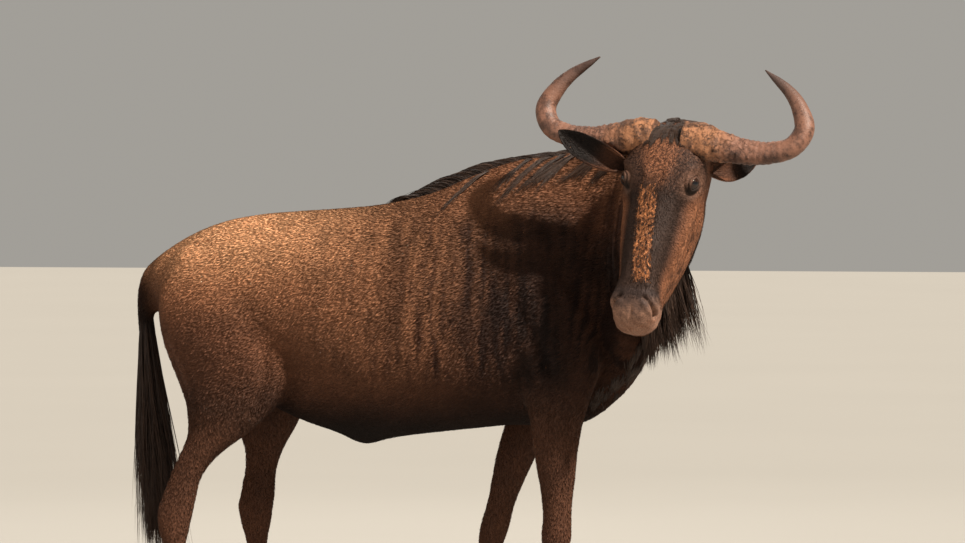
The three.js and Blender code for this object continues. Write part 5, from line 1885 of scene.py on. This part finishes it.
    def tassel(self) -> None:
        """The tail's long tassel, round the lower part of the dock and past its end."""
        random = self.random
        count = 80
        tail, girth = self.chart.skin.tail, self.chart.skin.tail_girth
        t = random.uniform(0.28, 0.99, count)
        angle = random.uniform(0, 2 * math.pi, count)
        away = np.column_stack([np.cos(angle), np.sin(angle), np.zeros(count)])
        root = tail.at(t) + away * between(girth, t)[:, :1] * 0.9
        down = np.array([0, 0, -1.0])
        out = unit(away * 0.4 + down * 0.6)
        lie = unit(down + away * 0.05 + np.array([0.07, 0, 0]))
        end = 314 + 190 * random.random(count) ** 1.6
        locks = {
            "root": root, "out": out, "lie": lie,
            "length": (root[:, 2] - end) * random.uniform(0.86, 1.0, count),
            "radius": random.uniform(7, 11, count), "sway": random.uniform(-0.03, 0.03, count),
        }
        self.strands("tassel", locks, 44, 1.15, 0.9, 0.6, 0.5, 0.03)


@dataclass
class Horn:
    """One horn: a rough boss on the brow, out and up to a smooth hooked tip."""

    skull: Skull
    side: Side
    shift: np.ndarray
    knob: float = 3.2
    points: tuple = (
        (24, 38, -36), (24, 72, -38), (32, 140, -44), (37, 210, -48), (34, 256, -46),
        (16, 308, -42), (-29, 331, -38), (-80, 312, -32), (-119, 280, -26), (-166, 212, -10),
    )
    girth: np.ndarray = field(default_factory=lambda: np.array([
        (0, 42, 45), (0.07, 43, 46), (0.2, 34, 37), (0.34, 27, 30), (0.5, 24, 26),
        (0.64, 23, 25), (0.75, 19, 20), (0.84, 14, 15), (0.93, 8, 9), (1, 1.6, 1.6),
    ], float))

    def build(self, finish: bpy.types.Material) -> None:
        """Makes the horn.

        Args:
            finish: its material.
        """
        way = Way([(u, v * self.side.value, w) for u, v, w in self.points])
        rings = way.rings(self.girth, 150, 56)
        middles = rings.mean(1, keepdims=True)
        out = unit(rings - middles)
        share = np.linspace(0, 1, len(rings))[:, None]
        rough = np.empty(rings.shape[:2])
        for i, ring in enumerate(rings):
            for k, point in enumerate(ring):
                place = Vector(point)
                rough[i, k] = noise.fractal(place / 17, 0.8, 2.1, 4) + 0.4 * noise.noise(place / 42)
        boss = 1 - step(0.12, 0.5, share)
        bands = np.cos(share * way.length / 2.3 + 1.6 * rough) * bell(share, 0.3, 0.2)
        push = self.knob * rough * (0.12 + boss) + 0.9 * bands
        fade = 1 - step(0.9, 1.0, share)
        rings = rings + out * (push * fade)[..., None]
        horn = Bench.lofted(f"horn_{self.side.word}_sheath", self.skull.out(rings) + self.shift)
        Bench.smoothed(horn)
        local = self.skull.into(Bench.places(horn) / MM - self.shift)
        Bench.mark(horn, "rise", way.nearest(local))
        horn.data.materials.append(finish)
        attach(horn, "root")
        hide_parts(f"horn_{self.side.word}")
        LOG.info("horn %s: %d faces", self.side.word, len(horn.data.polygons))


@dataclass
class Eye:
    """One eyeball with its clear bulge and a level pupil."""

    skull: Skull
    side: Side
    shift: np.ndarray
    pupil: tuple[float, float] = (7.5, 4.2)

    def build(self, finish: bpy.types.Material) -> None:
        """Makes the eye.

        Args:
            finish: its material.
        """
        centre = self.skull.out(np.array([self.skull.eye]) * (1, self.side.value, 1))[0] + self.shift
        facing = Vector(self.skull.way(0.15, 0.8 * self.side.value, 0.58))
        Bench.only()
        bpy.ops.mesh.primitive_uv_sphere_add(segments=56, ring_count=36, radius=self.skull.eye_radius * MM,
                                             location=Vector(centre) * MM)
        eye = bpy.context.object
        eye.name = f"eyeball_{self.side.word}"
        eye.rotation_euler = facing.to_track_quat("Z", "Y").to_euler()
        bpy.ops.object.transform_apply(location=True, rotation=True, scale=True)
        away = Bench.places(eye) / MM - centre
        front = away @ np.array(facing)
        Bench.place(eye, (centre + away * (1 + 0.035 * step(14, 21, front))[:, None]) * MM)
        level = unit(np.cross((0, 0, 1), facing))
        high = np.cross(facing, level)
        spread = np.hypot(away @ level / self.pupil[0], away @ high / self.pupil[1])
        Bench.mark(eye, "pupil", step(1.3, 0.8, spread) * (front > 0))
        Bench.smoothed(eye)
        eye.data.materials.append(finish)
        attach(eye, "root")
        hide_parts(f"eye_{self.side.word}")


@dataclass
class Hoof:
    """One cloven hoof of two claws, and the two small ones behind the fetlock."""

    leg: Limb
    shift: np.ndarray
    height: float = 51.5
    apart: float = 126
    sides: int = 40

    def build(self, finish: bpy.types.Material) -> None:
        """Makes the hoof.

        Args:
            finish: its material.
        """
        x = between(self.leg.way, np.array([40.0]))[0, 0]
        claws = [Bench.lofted("claw", self._claw(x, half) + self.shift) for half in (1, -1)]
        fore, _, end = self.leg.name.partition("_")
        node = f"hoof_{'front' if fore == 'fore' else 'hind'}_{end}"
        hoof = Bench.joined(f"{node}_claws", claws)
        corner = math.radians(38)
        Bench.modified(hoof, "BEVEL", width=0.0016, segments=2, limit_method="ANGLE", angle_limit=corner)
        bpy.ops.object.shade_smooth_by_angle(angle=math.radians(40))
        hoof.data.materials.append(finish)
        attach(hoof, "root")
        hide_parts(node)
        self._dewclaws(f"{node}_dewclaws", finish)

    def _claw(self, x: float, half: int) -> np.ndarray:
        """The rings of one claw, flat along the cleft and round outside."""
        turns = np.linspace(0, 2 * math.pi, self.sides, endpoint=False)
        across, ahead = np.sin(turns), np.cos(turns)
        rings = []
        for t in (0, 0.03, 0.1, 0.25, 0.45, 0.7, 0.9, 1):
            front, rear = x + 73 - 43 * t, x - 41 - 2 * t
            wide = (37.5 if t < 0.02 else 40.5) - 7 * t
            along = (front + rear) / 2 + (front - rear) / 2 * ahead
            pointed = 1 - 0.3 * np.maximum(0, ahead) ** 2
            cleft = 1.2 + 2.6 * step(-0.4, 1, ahead)
            outer = wide * pointed * np.abs(across) ** 0.8
            out = np.where(across > 0, np.maximum(outer, cleft + 0.5), cleft)
            sideways = self.leg.side.value * self.apart + half * out
            rings.append(np.stack([along, sideways, np.full(self.sides, self.height * t)], axis=1))
        rings = np.array(rings)
        return rings if half > 0 else rings[:, ::-1]

    def _dewclaws(self, name: str, finish: bpy.types.Material) -> None:
        """The two small claws behind the fetlock.

        Args:
            name: the piece's name.
            finish: its material.
        """
        x = between(self.leg.way, np.array([108.0]))[0, 0]
        deep = between(self.leg.form, np.array([108.0]))[0, 0]
        way = Way([(14, 0, 6), (2, 0, -1), (-9, 0, -10), (-16, 0, -22)])
        girth = np.array([(0, 10, 10), (0.4, 11, 11), (0.75, 8, 9), (1, 2.5, 4)], float)
        claws = []
        for half in (1, -1):
            rings = way.rings(girth, 12, 24) + (x - deep + 4, self.leg.side.value * 127 + half * 13, 104)
            claws.append(Bench.lofted("dewclaw", rings + self.shift))
        pair = Bench.joined(name, claws)
        Bench.smoothed(pair)
        pair.data.materials.append(finish)
        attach(pair, "root")


def main() -> None:
    """Builds the animal in order and reports each piece."""
    logging.basicConfig(level=logging.INFO, format="%(message)s")
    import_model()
    low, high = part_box("hoof_front_right")
    hoof_middle = np.array([473.0, -126.0, 0.0])
    found = np.array([(low.x + high.x) / 2, (low.y + high.y) / 2, low.z]) / MM
    shift = found - hoof_middle
    Studio(Vector((209, 0, 1041)) * MM + Vector(shift) * MM).build()
    skin = Skin(Body(), Skull(), limbs(), shift)
    hide = skin.build()
    chart = Chart(skin, hide)
    chart.read()
    chart.dress()
    coat_finish = CoatFinish().made()
    hide.data.materials.append(coat_finish)
    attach(hide, "root")
    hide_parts("torso", "neck", "head", "tail", "leg_front_right", "leg_front_left",
                "leg_hind_right", "leg_hind_left", "ear_left", "ear_right")
    LOG.info("skin: %d faces", len(hide.data.polygons))
    Coat(chart, coat_finish).build()
    LongHair(chart, HairFinish().made()).build()
    horn_finish, eye_finish, hoof_finish = HornFinish().made(), EyeFinish().made(), HoofFinish().made()
    for side in Side:
        Horn(skin.skull, side, shift).build(horn_finish)
        Eye(skin.skull, side, shift).build(eye_finish)
    for leg in skin.legs:
        Hoof(leg, shift).build(hoof_finish)


if __name__ == "__main__":
    main()
